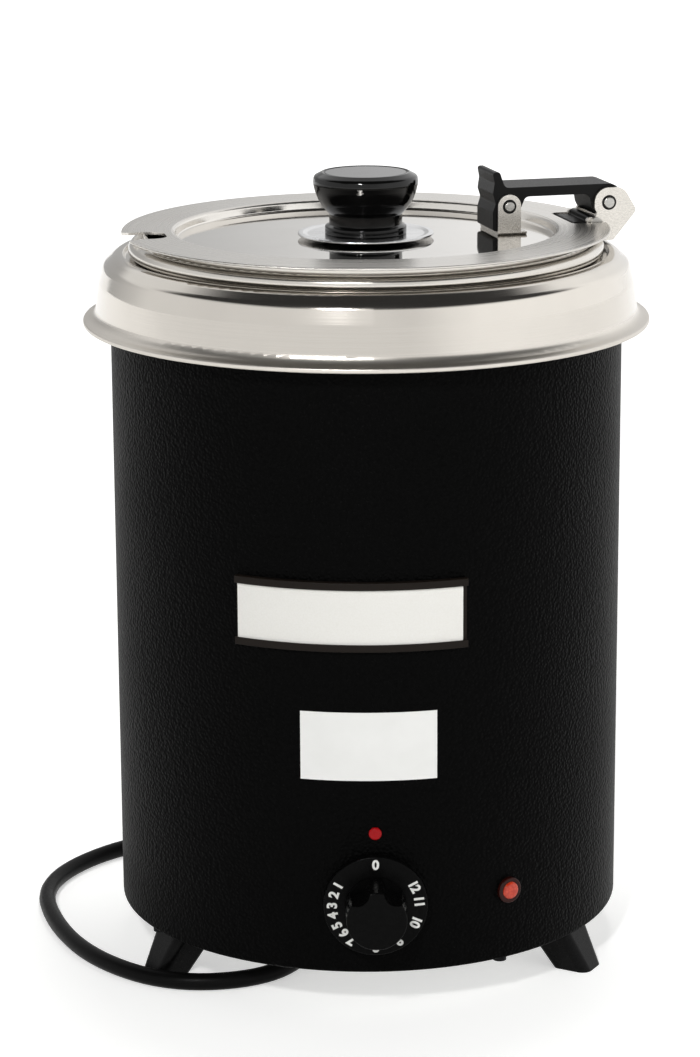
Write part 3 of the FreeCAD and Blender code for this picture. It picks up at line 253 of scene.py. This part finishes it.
# %% [markdown]
# ## Spun and polished stainless steel
#
# Collar, pot, bath and lid are stainless sheet, spun or drawn over a former and
# then polished while they turn, so their faint lines run in rings. The rings are
# noise read from just two numbers, the distance from the kettle's axis and the
# height: all points of one ring then get the same value. The ring pitch of real
# polish is under 0.1 mm; it is drawn at 0.6 mm so that a little of it shows. A
# second, broad noise stands for hand marks and uneven polish. The polishing wheel
# can't reach into the flare above the collar's lip, so that stays satin. The
# aluminium disc and the base sheets hardly show, so they share the loop and take
# faint rings too.

# %% Rings about the axis
ring_pitch = 0.6


def about_axis(tree, place):
    """Distance from the kettle's axis, height, and a vector of the two."""
    centred = node(tree, "ShaderNodeMapping", {"Vector": place, "Location": -kettle_axis})
    parts = node(tree, "ShaderNodeSeparateXYZ", {"Vector": centred.outputs[0]}).outputs
    level = node(tree, "ShaderNodeCombineXYZ", {"X": parts["X"], "Y": parts["Y"]})
    distance = node(tree, "ShaderNodeVectorMath", {0: level.outputs[0]},
                    operation="LENGTH").outputs["Value"]
    meridian = node(tree, "ShaderNodeCombineXYZ", {"X": distance, "Y": parts["Z"]})
    return distance, parts["Z"], meridian.outputs[0]


print("rings drawn", ring_pitch, "mm apart")

# %% Ring-polished finishes
# To the eye: a bright, slightly warm mirror, softened along the rings. The collar
# is polished furthest, the bath inside is left as drawn.
mark_size, mark_share, mark_shade = 45, 0.45, 0.93
satin_rough, satin_blend = 0.4, 3
for name, code, low_rough, high_rough, satin_below, depth, dressed in (
        ("spun_stainless", "#d3cec6", 0.10, 0.20, 316, 0.010, ("collar",)),
        ("drawn_pot_stainless", "#cfcbc4", 0.14, 0.26, 0, 0.012, ("inset_pot",)),
        ("drawn_bath_stainless", "#bfbab2", 0.24, 0.40, 0, 0.016, ("water_well",)),
        ("rolled_aluminium", "#c9c9cb", 0.28, 0.42, 0, 0.010, ("heat_spreader",)),
        ("galvanised_base_sheet", "#a9a9a6", 0.30, 0.48, 0, 0.014, (
            "base_plate", "element_clamp"))):
    finish, tree, shader, place = new_finish(name, Metallic=1.0)
    _, height, meridian = about_axis(tree, place)
    rings = node(tree, "ShaderNodeTexNoise",
                 {"Vector": meridian, "Scale": 1 / (ring_pitch * MM), "Detail": 2.0}).outputs["Fac"]
    marks = node(tree, "ShaderNodeTexNoise",
                 {"Vector": place, "Scale": 1 / (mark_size * MM), "Detail": 5.0}).outputs["Fac"]
    mixed = node(tree, "ShaderNodeMix", {FACTOR: mark_share, NUMBER_A: rings, NUMBER_B: marks})
    rough = node(tree, "ShaderNodeMapRange",
                 {"Value": mixed.outputs[NUMBER], "From Min": 0.3, "From Max": 0.7,
                  "To Min": low_rough, "To Max": high_rough})
    satin = node(tree, "ShaderNodeMapRange",
                 {"Value": height, "From Min": (satin_below - satin_blend) * MM,
                  "From Max": (satin_below + satin_blend) * MM,
                  "To Min": satin_rough, "To Max": 0.0})
    duller = node(tree, "ShaderNodeMath",
                  {0: rough.outputs["Result"], 1: satin.outputs["Result"]}, operation="MAXIMUM")
    tree.links.new(duller.outputs[0], shader.inputs["Roughness"])
    shaded = "#" + "".join(f"{int(int(code[i:i + 2], 16) * mark_shade):02x}" for i in (1, 3, 5))
    tint = node(tree, "ShaderNodeMix",
                {FACTOR: marks, COLOUR_A: linear(code), COLOUR_B: linear(shaded)},
                data_type="RGBA")
    tree.links.new(tint.outputs[COLOUR], shader.inputs["Base Color"])
    groove = node(tree, "ShaderNodeBump",
                  {"Height": rings, "Strength": 0.25, "Distance": depth * MM})
    tree.links.new(groove.outputs["Normal"], shader.inputs["Normal"])
    dress(finish, *dressed)

# %% [markdown]
# ## Lid
#
# The lid is one pressing with two grades of polish: the flange keeps fine rings,
# while the sunk panel round the knob is a mirror with a few wiping marks. The
# distance from the axis tells the two apart, so one material serves both, with a
# short blend on the sloping step between them. The cut edge is only ground, so it
# is duller than either.

# %% Lid steel
# To the eye: a pale satin ring round a clear mirror that shows the knob's foot.
panel_r, flange_from = 90, 91
edge_from, edge_full, edge_rough = 115.3, 115.6, 0.4
wipe_size = 30
lid_steel, tree, shader, place = new_finish("polished_lid_stainless", Metallic=1.0)
distance, _, meridian = about_axis(tree, place)
rings = node(tree, "ShaderNodeTexNoise",
             {"Vector": meridian, "Scale": 1 / (ring_pitch * MM), "Detail": 2.0}).outputs["Fac"]
wiped = node(tree, "ShaderNodeTexNoise",
             {"Vector": place, "Scale": 1 / (wipe_size * MM), "Detail": 6.0,
              "Roughness": 0.6}).outputs["Fac"]
panel = node(tree, "ShaderNodeMapRange",
             {"Value": wiped, "From Min": 0.35, "From Max": 0.75, "To Min": 0.03, "To Max": 0.08})
flange = node(tree, "ShaderNodeMapRange",
              {"Value": rings, "From Min": 0.3, "From Max": 0.7, "To Min": 0.24, "To Max": 0.34})
outer = node(tree, "ShaderNodeMapRange",
             {"Value": distance, "From Min": panel_r * MM,
              "From Max": flange_from * MM}).outputs["Result"]
rough = node(tree, "ShaderNodeMix",
             {FACTOR: outer, NUMBER_A: panel.outputs["Result"], NUMBER_B: flange.outputs["Result"]})
cut_edge = node(tree, "ShaderNodeMapRange",
                {"Value": distance, "From Min": edge_from * MM, "From Max": edge_full * MM,
                 "To Min": 0.0, "To Max": edge_rough})
duller = node(tree, "ShaderNodeMath",
              {0: rough.outputs[NUMBER], 1: cut_edge.outputs["Result"]}, operation="MAXIMUM")
tree.links.new(duller.outputs[0], shader.inputs["Roughness"])
tint = node(tree, "ShaderNodeMix",
            {FACTOR: wiped, COLOUR_A: linear("#dad7d2"), COLOUR_B: linear("#cdc9c3")},
            data_type="RGBA")
tree.links.new(tint.outputs[COLOUR], shader.inputs["Base Color"])
depth = node(tree, "ShaderNodeMath", {0: outer, 1: 0.3}, operation="MULTIPLY")
groove = node(tree, "ShaderNodeBump",
              {"Height": rings, "Strength": depth.outputs[0], "Distance": 0.01 * MM})
tree.links.new(groove.outputs["Normal"], shader.inputs["Normal"])
dress(lid_steel, "lid")

# %% [markdown]
# ## Bracket steel, screws and chrome
#
# The hinge's plates and the lid's bracket are stamped stainless strip, brushed
# along the strip. The brushing is noise stretched about forty times in one
# direction; a Mapping node first turns the pattern by the hinge's own azimuth, so
# the hairs follow the strip. Screws and pins are zinc plated, which is greyer and
# cloudier. The saucer under the knob is brass with a satin chrome plate.

# %% Brushed bracket strip
# To the eye: light grey with fine lengthwise hairs, and no clear reflection.
hinge_azimuth = 13.5
hair_length, hair_width = 14, 0.35
strip, tree, shader, place = new_finish("brushed_strip_stainless", Metallic=1.0)
along = node(tree, "ShaderNodeMapping",
             {"Vector": place, "Rotation": (0, 0, -math.radians(hinge_azimuth)),
              "Scale": (1 / (hair_length * MM), 1 / (hair_width * MM), 1 / (hair_width * MM))})
hairs = node(tree, "ShaderNodeTexNoise",
             {"Vector": along.outputs[0], "Scale": 1.0, "Detail": 3.0}).outputs["Fac"]
rough = node(tree, "ShaderNodeMapRange",
             {"Value": hairs, "From Min": 0.3, "From Max": 0.7, "To Min": 0.2, "To Max": 0.38})
tree.links.new(rough.outputs["Result"], shader.inputs["Roughness"])
tint = node(tree, "ShaderNodeMix",
            {FACTOR: hairs, COLOUR_A: linear("#d6d2cc"), COLOUR_B: linear("#bdb9b2")},
            data_type="RGBA")
tree.links.new(tint.outputs[COLOUR], shader.inputs["Base Color"])
scratch = node(tree, "ShaderNodeBump",
               {"Height": hairs, "Strength": 0.1, "Distance": 0.01 * MM})
tree.links.new(scratch.outputs["Normal"], shader.inputs["Normal"])
dress(strip, "hinge_plate_front", "hinge_plate_rear", "lid_clevis")

# %% Plated and polished small metal
# To the eye: zinc is soft grey with clouds, the screws under the base are black,
# satin chrome is a cool white, the pins of the plug a pale yellow metal, the
# feeler's tube copper.
for name, code, dark, low_rough, high_rough, grain, dressed in (
        ("zinc_plated_steel", "#bcbab5", "#9f9e9b", 0.24, 0.42, 1.6, (
            "bath_studs", "clamp_nuts", "clamp_screws", "clevis_rivets", "clevis_pin",
            "arm_pin", "knob_washer", "knob_screw", "thermostat_screws", "terminal_screws",
            "pilot_clip", "thermostat_shaft", "overheat_cutout", "sensor_bulb")),
        ("black_oxide_steel", "#222223", "#161617", 0.4, 0.55, 1.6, (
            "base_screws", "foot_screws")),
        ("oxidised_element_sheath", "#7d7a75", "#5f5a55", 0.4, 0.6, 2.5, ("heating_element",)),
        ("satin_chromed_brass", "#e2e2e2", "#d2d2d3", 0.18, 0.28, 12.0, ("knob_plate",)),
        ("nickelled_brass", "#cfc3a4", "#b6a884", 0.16, 0.3, 2.0, ("plug_pins",)),
        ("drawn_copper", "#c98a63", "#a86a46", 0.22, 0.4, 1.5, ("capillary_tube",))):
    finish, tree, shader, place = new_finish(name, Metallic=1.0)
    clouds = node(tree, "ShaderNodeTexNoise",
                  {"Vector": place, "Scale": 1 / (grain * MM), "Detail": 3.0}).outputs["Fac"]
    tint = node(tree, "ShaderNodeMix",
                {FACTOR: clouds, COLOUR_A: linear(code), COLOUR_B: linear(dark)},
                data_type="RGBA")
    tree.links.new(tint.outputs[COLOUR], shader.inputs["Base Color"])
    rough = node(tree, "ShaderNodeMapRange",
                 {"Value": clouds, "From Min": 0.3, "From Max": 0.7,
                  "To Min": low_rough, "To Max": high_rough})
    tree.links.new(rough.outputs["Result"], shader.inputs["Roughness"])
    dress(finish, *dressed)

# %% [markdown]
# ## Plastics, rubber, paper and wool
#
# The knob and the dial are pressed phenolic, hard and glossy. The hinge arm and
# the saddle are nylon with a fine spark-eroded grain. The feet come from a
# polished mould. Lead and wires have a soft sheath, the label channel is an
# extruded strip. They differ in gloss, grain size and grain depth, so a table
# holds those numbers and one loop builds the materials: noise of the grain's real
# size drives colour, roughness and relief together.

# %% Moulded and extruded plastics
# To the eye: phenolic shows small sharp lights, nylon a soft grey sheen, the
# sheath is dull, the strip is a brownish black.
finishes = {}
for name, code, pale, gloss, low_rough, high_rough, grain, depth, dressed in (
        ("polished_phenolic", "#050505", "#0a0a0a", 0.3, 0.07, 0.13, 9.0, 0.004, ("lid_knob",)),
        ("moulded_phenolic", "#050505", "#0a0a0a", 0.04, 0.22, 0.32, 3.0, 0.01, ("dial_knob",)),
        # The pin rings are black rings that stand in for the shaded clearance round each pin:
        # painted shade.
        ("grained_nylon", "#0a0a0a", "#121212", 0.12, 0.34, 0.48, 0.7, 0.05, (
            "hinge_arm", "rim_clamp", "arm_pin_rings", "clevis_pin_rings")),
        ("polished_mould_nylon", "#060606", "#0c0c0c", 0.08, 0.2, 0.32, 2.0, 0.01, (
            "foot_left", "foot_right", "foot_rear")),
        ("inner_case_plastic", "#101010", "#1b1b1b", 0.15, 0.45, 0.6, 1.0, 0.03, (
            "thermostat_case", "cord_gland", "pilot_case")),
        ("plug_rubber", "#0c0c0c", "#161616", 0.15, 0.4, 0.55, 0.8, 0.04, ()),
        ("lead_sheath", "#070707", "#0d0d0d", 0.06, 0.32, 0.46, 1.2, 0.04, ()),
        ("woven_strap", "#0d0d0d", "#1f1f1f", 0.1, 0.75, 0.9, 0.9, 0.3, ()),
        ("extruded_strip", "#120f0c", "#1e1814", 0.1, 0.38, 0.52, 0.9, 0.02, ("label_holder",)),
        ("terminal_polyamide", "#ddd5bd", "#cfc5a8", 0.3, 0.35, 0.5, 1.5, 0.02, (
            "terminal_block",)),
        ("silicone_wire", "#5a2c14", "#6e3a1e", 0.2, 0.45, 0.6, 1.0, 0.03, (
            "wire_element", "wire_thermostat", "wire_lamp")),
        ("glass_wool", "#d9c878", "#b79f52", 0.1, 0.9, 1.0, 2.5, 1.2, ("insulation_wrap",))):
    finish, tree, shader, place = new_finish(name, Specular_IOR_Level=gloss)
    grit = node(tree, "ShaderNodeTexNoise",
                {"Vector": place, "Scale": 1 / (grain * MM), "Detail": 3.0}).outputs["Fac"]
    tint = node(tree, "ShaderNodeMix",
                {FACTOR: grit, COLOUR_A: linear(code), COLOUR_B: linear(pale)},
                data_type="RGBA")
    tree.links.new(tint.outputs[COLOUR], shader.inputs["Base Color"])
    rough = node(tree, "ShaderNodeMapRange",
                 {"Value": grit, "From Min": 0.3, "From Max": 0.7,
                  "To Min": low_rough, "To Max": high_rough})
    tree.links.new(rough.outputs["Result"], shader.inputs["Roughness"])
    bumps = node(tree, "ShaderNodeBump",
                 {"Height": grit, "Strength": 0.5, "Distance": depth * MM})
    tree.links.new(bumps.outputs["Normal"], shader.inputs["Normal"])
    finishes[name] = finish
    dress(finish, *dressed)
lead_curve.materials.append(finishes["lead_sheath"])

# %% [markdown]
# ## Card, sticker, mark and pilot lamp
#
# The card in the channel and the sticker below it are plain white: paper board
# with a trace of fibre, and smooth vinyl. The mark above the dial is red enamel.
# The lamp's lens is clear red acrylic with small facets inside that spread the
# glow; the facets are a Voronoi relief about 1.3 mm wide. The middle of each
# facet is painted lighter than its rim, a painted glow. Its bezel is a darker
# red.

# %% Paper, vinyl and enamel
# To the eye: board is matt and a touch warm, vinyl brighter and smoother, enamel
# a small clear red spot.
for name, code, shade, rough, grain, dressed in (
        ("white_board", "#f0efeb", "#e6e4de", 0.7, 0.8, "label_card"),
        ("white_vinyl", "#f3f3f1", "#e9e9e6", 0.38, 14.0, "blank_label"),
        ("red_enamel", "#ab0f15", "#8f0a10", 0.22, 2.0, "index_pip"),
        ("bezel_acrylic", "#310e08", "#210805", 0.25, 1.5, "pilot_bezel")):
    finish, tree, shader, place = new_finish(name, Roughness=rough, Specular_IOR_Level=0.15)
    fibre = node(tree, "ShaderNodeTexNoise",
                 {"Vector": place, "Scale": 1 / (grain * MM), "Detail": 4.0})
    tint = node(tree, "ShaderNodeMix",
                {FACTOR: fibre.outputs["Fac"], COLOUR_A: linear(code), COLOUR_B: linear(shade)},
                data_type="RGBA")
    tree.links.new(tint.outputs[COLOUR], shader.inputs["Base Color"])
    dress(finish, dressed)

# %% Lamp lens
# To the eye: a warm orange red. The middle of each facet is painted lighter than its rim: a painted
# glow, as of light through the facets.
facet_size, facet_depth = 1.3, 0.3
lens, tree, shader, place = new_finish("faceted_red_acrylic", Roughness=0.12, IOR=1.49)
facets = node(tree, "ShaderNodeTexVoronoi",
              {"Vector": place, "Scale": 1 / (facet_size * MM)}).outputs["Distance"]
# Painted light: each facet's middle is painted lighter than its rim.
tint = node(tree, "ShaderNodeMix",
            {FACTOR: facets, COLOUR_A: linear("#d0421e"), COLOUR_B: linear("#a82611")},
            data_type="RGBA")
tree.links.new(tint.outputs[COLOUR], shader.inputs["Base Color"])
cut = node(tree, "ShaderNodeBump",
           {"Height": facets, "Strength": 0.35, "Distance": facet_depth * MM})
tree.links.new(cut.outputs["Normal"], shader.inputs["Normal"])
dress(lens, "pilot_lens")

# %% [markdown]
# ## New pieces
#
# Each new piece is worked up in a bmesh, in the place it has on the kettle. One
# function then makes it an object with smooth shading that rides on a body of the
# frame.

# %% Helpers for pieces
crisp_from = 30


def new_piece(name, bm, body, finish):
    """Object from a bmesh, smooth but for its sharp edges."""
    for face in bm.faces:
        face.smooth = True
    for edge in bm.edges:
        flat = len(edge.link_faces) == 2 and edge.calc_face_angle() < math.radians(crisp_from)
        edge.smooth = flat
    mesh = bpy.data.meshes.new(name)
    bm.to_mesh(mesh)
    bm.free()
    mesh.materials.append(finish)
    made = bpy.data.objects.new(name, mesh)
    scene.collection.objects.link(made)
    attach(made, body)
    print(name, len(mesh.polygons), "faces on", body)
    return made


def verts_of(geom):
    """The vertices among what an operator made."""
    return [g for g in geom if isinstance(g, bmesh.types.BMVert)]


print("edges of", crisp_from, "degrees and more stay crisp")

# %% [markdown]
# ## Plug
#
# The plug is moulded round the end of the lead in soft rubber: a ribbed sleeve
# that lets the lead bend, a cone and a round grip with flutes. Its half outline
# is a short chain of points, spun about the lead's line; a lathe shape is quicker
# to make this way than by stacking cylinders. Every other strip of the grip is
# then inset and pushed in for the flutes.

# %% Plug
sleeve = [(18, 4.4), (18, 5.4), (16.6, 5.4), (16.6, 6.0), (14.6, 6.2), (14.6, 5.5), (12.8, 5.6),
          (12.8, 6.8), (10.8, 7.0), (10.8, 6.1), (9, 6.3), (9, 7.6), (7, 7.8), (7, 6.9), (5.2, 7.2)]
grip_and_end = [(4, 8), (1, 10.6), (-4, 14.0), (-6, 14.5), (-9, 14.5), (-30, 14.5), (-33, 14.5),
                (-35.2, 14.1), (-36, 13.2), (-36, 0)]
outline = sleeve + grip_and_end
grip_from, grip_to = -30, -9
flute_rim, flute_depth = 0.35, 0.5
plug_line = kettle_axis + Vector((0, plug_y, coil_high)) * MM


def round_lead(face):
    """Angle of a face's middle about the lead's line."""
    middle = face.calc_center_median()
    return math.atan2(middle.y - plug_line.y, middle.z - plug_line.z)


bm = bmesh.new()
line = [bm.verts.new(kettle_axis + Vector((x, plug_y, coil_high + r)) * MM) for x, r in outline]
chain = [bm.edges.new(pair) for pair in zip(line, line[1:])]
bmesh.ops.spin(bm, geom=line + chain, cent=plug_line, axis=(1, 0, 0), angle=2 * math.pi, steps=48,
               use_merge=True)
bmesh.ops.remove_doubles(bm, verts=bm.verts, dist=0.01 * MM)
bmesh.ops.recalc_face_normals(bm, faces=bm.faces)
grip = [f for f in bm.faces if grip_from < f.calc_center_median().x / MM < grip_to]
grip.sort(key=round_lead)
bmesh.ops.inset_individual(bm, faces=grip[::2], thickness=flute_rim * MM, depth=-flute_depth * MM)
plug = new_piece("moulded_plug", bm, "housing", finishes["plug_rubber"])
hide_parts("plug_body")

# %% [markdown]
# ## Strap round the coil
#
# A woven hook-and-loop strap holds the turns together. It is one closed band with
# rounded corners: a rectangle drawn round the bundle, its corners bevelled, its
# outline extruded to the strap's width and given a thickness. A second short
# layer on top is the strap's free end.

# %% Strap band
strap_x, strap_half, strap_low, strap_high = 19.5, 9.3, 1.3, 19.4
strap_width, strap_thick, strap_corner = 8.0, 1.1, 3.4
bm = bmesh.new()
bmesh.ops.create_grid(bm, x_segments=1, y_segments=1, size=0.5)
bmesh.ops.scale(bm, vec=(2 * strap_half * MM, (strap_high - strap_low) * MM, 1), verts=bm.verts)
bmesh.ops.bevel(bm, geom=bm.verts, offset=strap_corner * MM, affect="VERTICES", segments=6,
                profile=0.5, material=-1)
bmesh.ops.rotate(bm, matrix=Matrix.Rotation(math.radians(90), 3, "X"), verts=bm.verts)
middle = Vector((strap_x, coil_y - strap_width / 2, (strap_low + strap_high) / 2)) * MM
bmesh.ops.translate(bm, vec=kettle_axis + middle, verts=bm.verts)
bmesh.ops.delete(bm, geom=bm.faces, context="FACES_ONLY")
wide = bmesh.ops.extrude_edge_only(bm, edges=bm.edges)["geom"]
bmesh.ops.translate(bm, vec=(0, strap_width * MM, 0), verts=verts_of(wide))
bmesh.ops.recalc_face_normals(bm, faces=bm.faces)
bmesh.ops.solidify(bm, geom=bm.faces, thickness=-strap_thick * MM)
print("strap band", len(bm.faces), "faces")

# %% Strap's free end
flap_length, flap_thick, flap_shift, flap_gap = 11, 0.8, 1, 0.05
flap_place = Vector((strap_x + flap_shift, coil_y, strap_high + strap_thick + flap_gap)) * MM
flap = bmesh.ops.create_grid(bm, x_segments=6, y_segments=4, size=0.5)["verts"]
bmesh.ops.scale(bm, vec=(flap_length * MM, strap_width * MM, 1), verts=flap)
bmesh.ops.translate(bm, vec=kettle_axis + flap_place, verts=flap)
flap_faces = [face for face in bm.faces if face.verts[0] in flap]
raised = bmesh.ops.extrude_face_region(bm, geom=flap_faces)["geom"]
bmesh.ops.translate(bm, vec=(0, 0, flap_thick * MM), verts=verts_of(raised))
strap = new_piece("coil_strap", bm, "housing", finishes["woven_strap"])
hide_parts("cord_tie")

# %% [markdown]
# ## Numbers of the dial
#
# The skirt of the dial carries white numbers from 0 to 12, printed with their
# tops outwards. Each number is a text object that is made a mesh, turned to face
# the front, pushed out to its radius and swung round the dial's axis. The steps
# aren't even: the numbers crowd together where the heat rises slowly. The font's 6
# breaks up when its strokes are thickened, so the 6 is a 9 turned over. All of
# them become one piece that turns with the dial.

# %% White print
# To the eye: flat, slightly uneven ink.
patch_size = 0.8
ink, tree, shader, place = new_finish("white_print", Roughness=0.5)
patches = node(tree, "ShaderNodeTexNoise",
               {"Vector": place, "Scale": 1 / (patch_size * MM), "Detail": 3.0}).outputs["Fac"]
tint = node(tree, "ShaderNodeMix",
            {FACTOR: patches, COLOUR_A: linear("#f2f2ef"), COLOUR_B: linear("#d9d9d5")},
            data_type="RGBA")
tree.links.new(tint.outputs[COLOUR], shader.inputs["Base Color"])
print("ink", ink.name)

# %% Numbers
skirt_back, skirt_thick, dial_height = 2.4, 3.4, 58
print_lift, print_thick, stroke_swell = 0.04, 0.03, 0.26
number_size, number_radius, letter_space = 6.2, 19.9, 0.87
number_turns = {0: 0, 1: 59, 2: 73, 3: 88, 4: 102, 5: 117, 6: 131, 7: 146, 8: 180, 9: 212,
                10: 247, 11: 276, 12: 298}
skirt_front = -(jacket_r + skirt_back + skirt_thick)
dial_middle = kettle_axis + Vector((0, skirt_front - print_lift, dial_height)) * MM
to_front = Matrix.Rotation(math.radians(90), 4, "X")
outwards = Matrix.Translation((0, 0, number_radius * MM))
bm = bmesh.new()
for number, degrees in number_turns.items():
    text = bpy.data.curves.new("number", "FONT")
    text.body = "9" if number == 6 else str(number)
    text.size = number_size * MM
    text.space_character = letter_space
    text.offset = stroke_swell * MM
    text.align_x = "CENTER"
    text.align_y = "CENTER"
    text.extrude = print_thick * MM
    letter = bpy.data.objects.new("number", text)
    shape = bpy.data.meshes.new_from_object(letter)
    shape.transform(Matrix.Rotation(math.pi if number == 6 else 0, 4, "Z"))
    swing = Matrix.Rotation(-math.radians(degrees), 4, "Y")
    shape.transform(Matrix.Translation(dial_middle) @ swing @ outwards @ to_front)
    bm.from_mesh(shape)
    bpy.data.meshes.remove(shape)
    bpy.data.objects.remove(letter)
    bpy.data.curves.remove(text)
new_piece("dial_numbers", bm, "dial", ink)

# %% [markdown]
# ## Floor, world and lamps
#
# The picture has a plain white ground. A large pale floor catches the shadow; a
# glow that only the camera and mirrors see makes it white without more light on
# the kettle, and rises with the distance as the lamps' light falls off. The camera
# sees the room as plain white too. Mirrors see more of it, because bright steel
# lives from what it mirrors: the white horizon fills the lid and the collar's
# wall, a dark ceiling on the near side draws the black band on the collar's
# shoulder, a greyer wall behind on the left shades that half of the lid, and a
# brighter one on the right lights that side of the collar. The room's light on
# matt things is held back, so that the card and the sticker keep their tone. Of
# the three lamps only the small key lamp shows in steel and gloss: a large lamp
# mirrored in the lid's flange would burn it out to white.

# %% Kinds of rays
def ray_kinds(tree):
    """Two sockets: 1 for rays from the camera, and 1 for mirrored or refracted rays."""
    rays = node(tree, "ShaderNodeLightPath").outputs
    mirrored = node(tree, "ShaderNodeMath",
                    {0: rays["Is Glossy Ray"], 1: rays["Is Transmission Ray"]},
                    operation="MAXIMUM")
    return rays["Is Camera Ray"], mirrored.outputs[0]


print("floor and world tell camera rays from mirrored ones")

# %% Floor
floor_half = 15
glow_near, glow_far = 0.5, 0.95
bm = bmesh.new()
bmesh.ops.create_grid(bm, x_segments=1, y_segments=1, size=floor_half)
floor_mesh = bpy.data.meshes.new("floor")
bm.to_mesh(floor_mesh)
bm.free()
floor = bpy.data.objects.new("floor", floor_mesh)
scene.collection.objects.link(floor)
floor_paint, tree, shader, place = new_finish("floor_paint", Base_Color=linear("#ebebe9"),
                                              Roughness=0.9, Emission_Color=(1, 1, 1, 1))
from_camera, mirrored = ray_kinds(tree)
seen = node(tree, "ShaderNodeMath", {0: from_camera, 1: mirrored}, operation="MAXIMUM")
away = node(tree, "ShaderNodeVectorMath", {0: place}, operation="LENGTH").outputs["Value"]
white = node(tree, "ShaderNodeMapRange",
             {"Value": away, "From Min": 0.5, "From Max": 2.5,
              "To Min": glow_near, "To Max": glow_far})
glow = node(tree, "ShaderNodeMath", {0: seen.outputs[0], 1: white.outputs["Result"]},
            operation="MULTIPLY")
tree.links.new(glow.outputs[0], shader.inputs["Emission Strength"])
floor_mesh.materials.append(floor_paint)
print("floor", floor_mesh.name)

# %% World
# Each ramp reads one part of the direction that a ray leaves in. The steps then
# join ramps and earlier steps by name.
world = bpy.data.worlds.new("studio")
scene.world = world
world.use_nodes = True
tree = world.node_tree
look = node(tree, "ShaderNodeTexCoord").outputs["Generated"]
heading = node(tree, "ShaderNodeSeparateXYZ", {"Vector": look}).outputs
from_camera, mirrored = ray_kinds(tree)
light = {"from_camera": from_camera}
for name, source, start, end, first, last in (
        ("above", heading["Z"], 0.44, 0.58, 0.0, 0.96),
        ("near", heading["Y"], 0.25, 0.45, 1.0, 0.0),
        ("left", heading["X"], -0.05, 0.06, 0.5, 0.0),
        ("behind", heading["Y"], 0.3, 0.8, 0.0, 1.0),
        ("low_wall", heading["Z"], 0.32, 0.4, 1.0, 0.0),
        ("right", heading["X"], 0.3, 0.7, 1.0, 1.35),
        ("share", mirrored, 0.0, 1.0, 0.6, 1.0)):
    ramp = node(tree, "ShaderNodeMapRange",
                {"Value": source, "From Min": start, "From Max": end,
                 "To Min": first, "To Max": last})
    light[name] = ramp.outputs["Result"]
for name, operation, one, other in (
        ("dark", "MULTIPLY", "above", "near"),
        ("ceiling", "SUBTRACT", 1.0, "dark"),
        ("left_half", "MULTIPLY", "left", "behind"),
        ("grey", "MULTIPLY", "left_half", "low_wall"),
        ("room", "SUBTRACT", "right", "grey"),
        ("walls", "MULTIPLY", "ceiling", "room"),
        ("shared", "MULTIPLY", "walls", "share"),
        ("strength", "MAXIMUM", "shared", "from_camera")):
    joined = node(tree, "ShaderNodeMath",
                  {0: light.get(one, one), 1: light[other]}, operation=operation)
    light[name] = joined.outputs[0]
background = tree.nodes["Background"]
background.inputs["Color"].default_value = (1, 1, 1, 1)
tree.links.new(light["strength"], background.inputs["Strength"])
print("world", world.name)

# %% Lamps
lamp_aim = Vector((0, 0, 0.2))
for name, stand, size, power in (
        ("key", (-0.5, -2.0, 1.6), 0.22, 24),
        ("fill", (1.6, -1.2, 1.2), 1.8, 12),
        ("top", (0.1, 0.4, 2.2), 0.6, 14)):
    lamp_data = bpy.data.lights.new(name, "AREA")
    lamp_data.shape = "DISK"
    lamp_data.size = size
    lamp_data.energy = power
    lamp = bpy.data.objects.new(name, lamp_data)
    scene.collection.objects.link(lamp)
    lamp.location = stand
    lamp.visible_glossy = name == "key"
    lamp.rotation_euler = (lamp_aim - lamp.location).to_track_quat("-Z", "Y").to_euler()
    print(name, "lamp", power, "W")
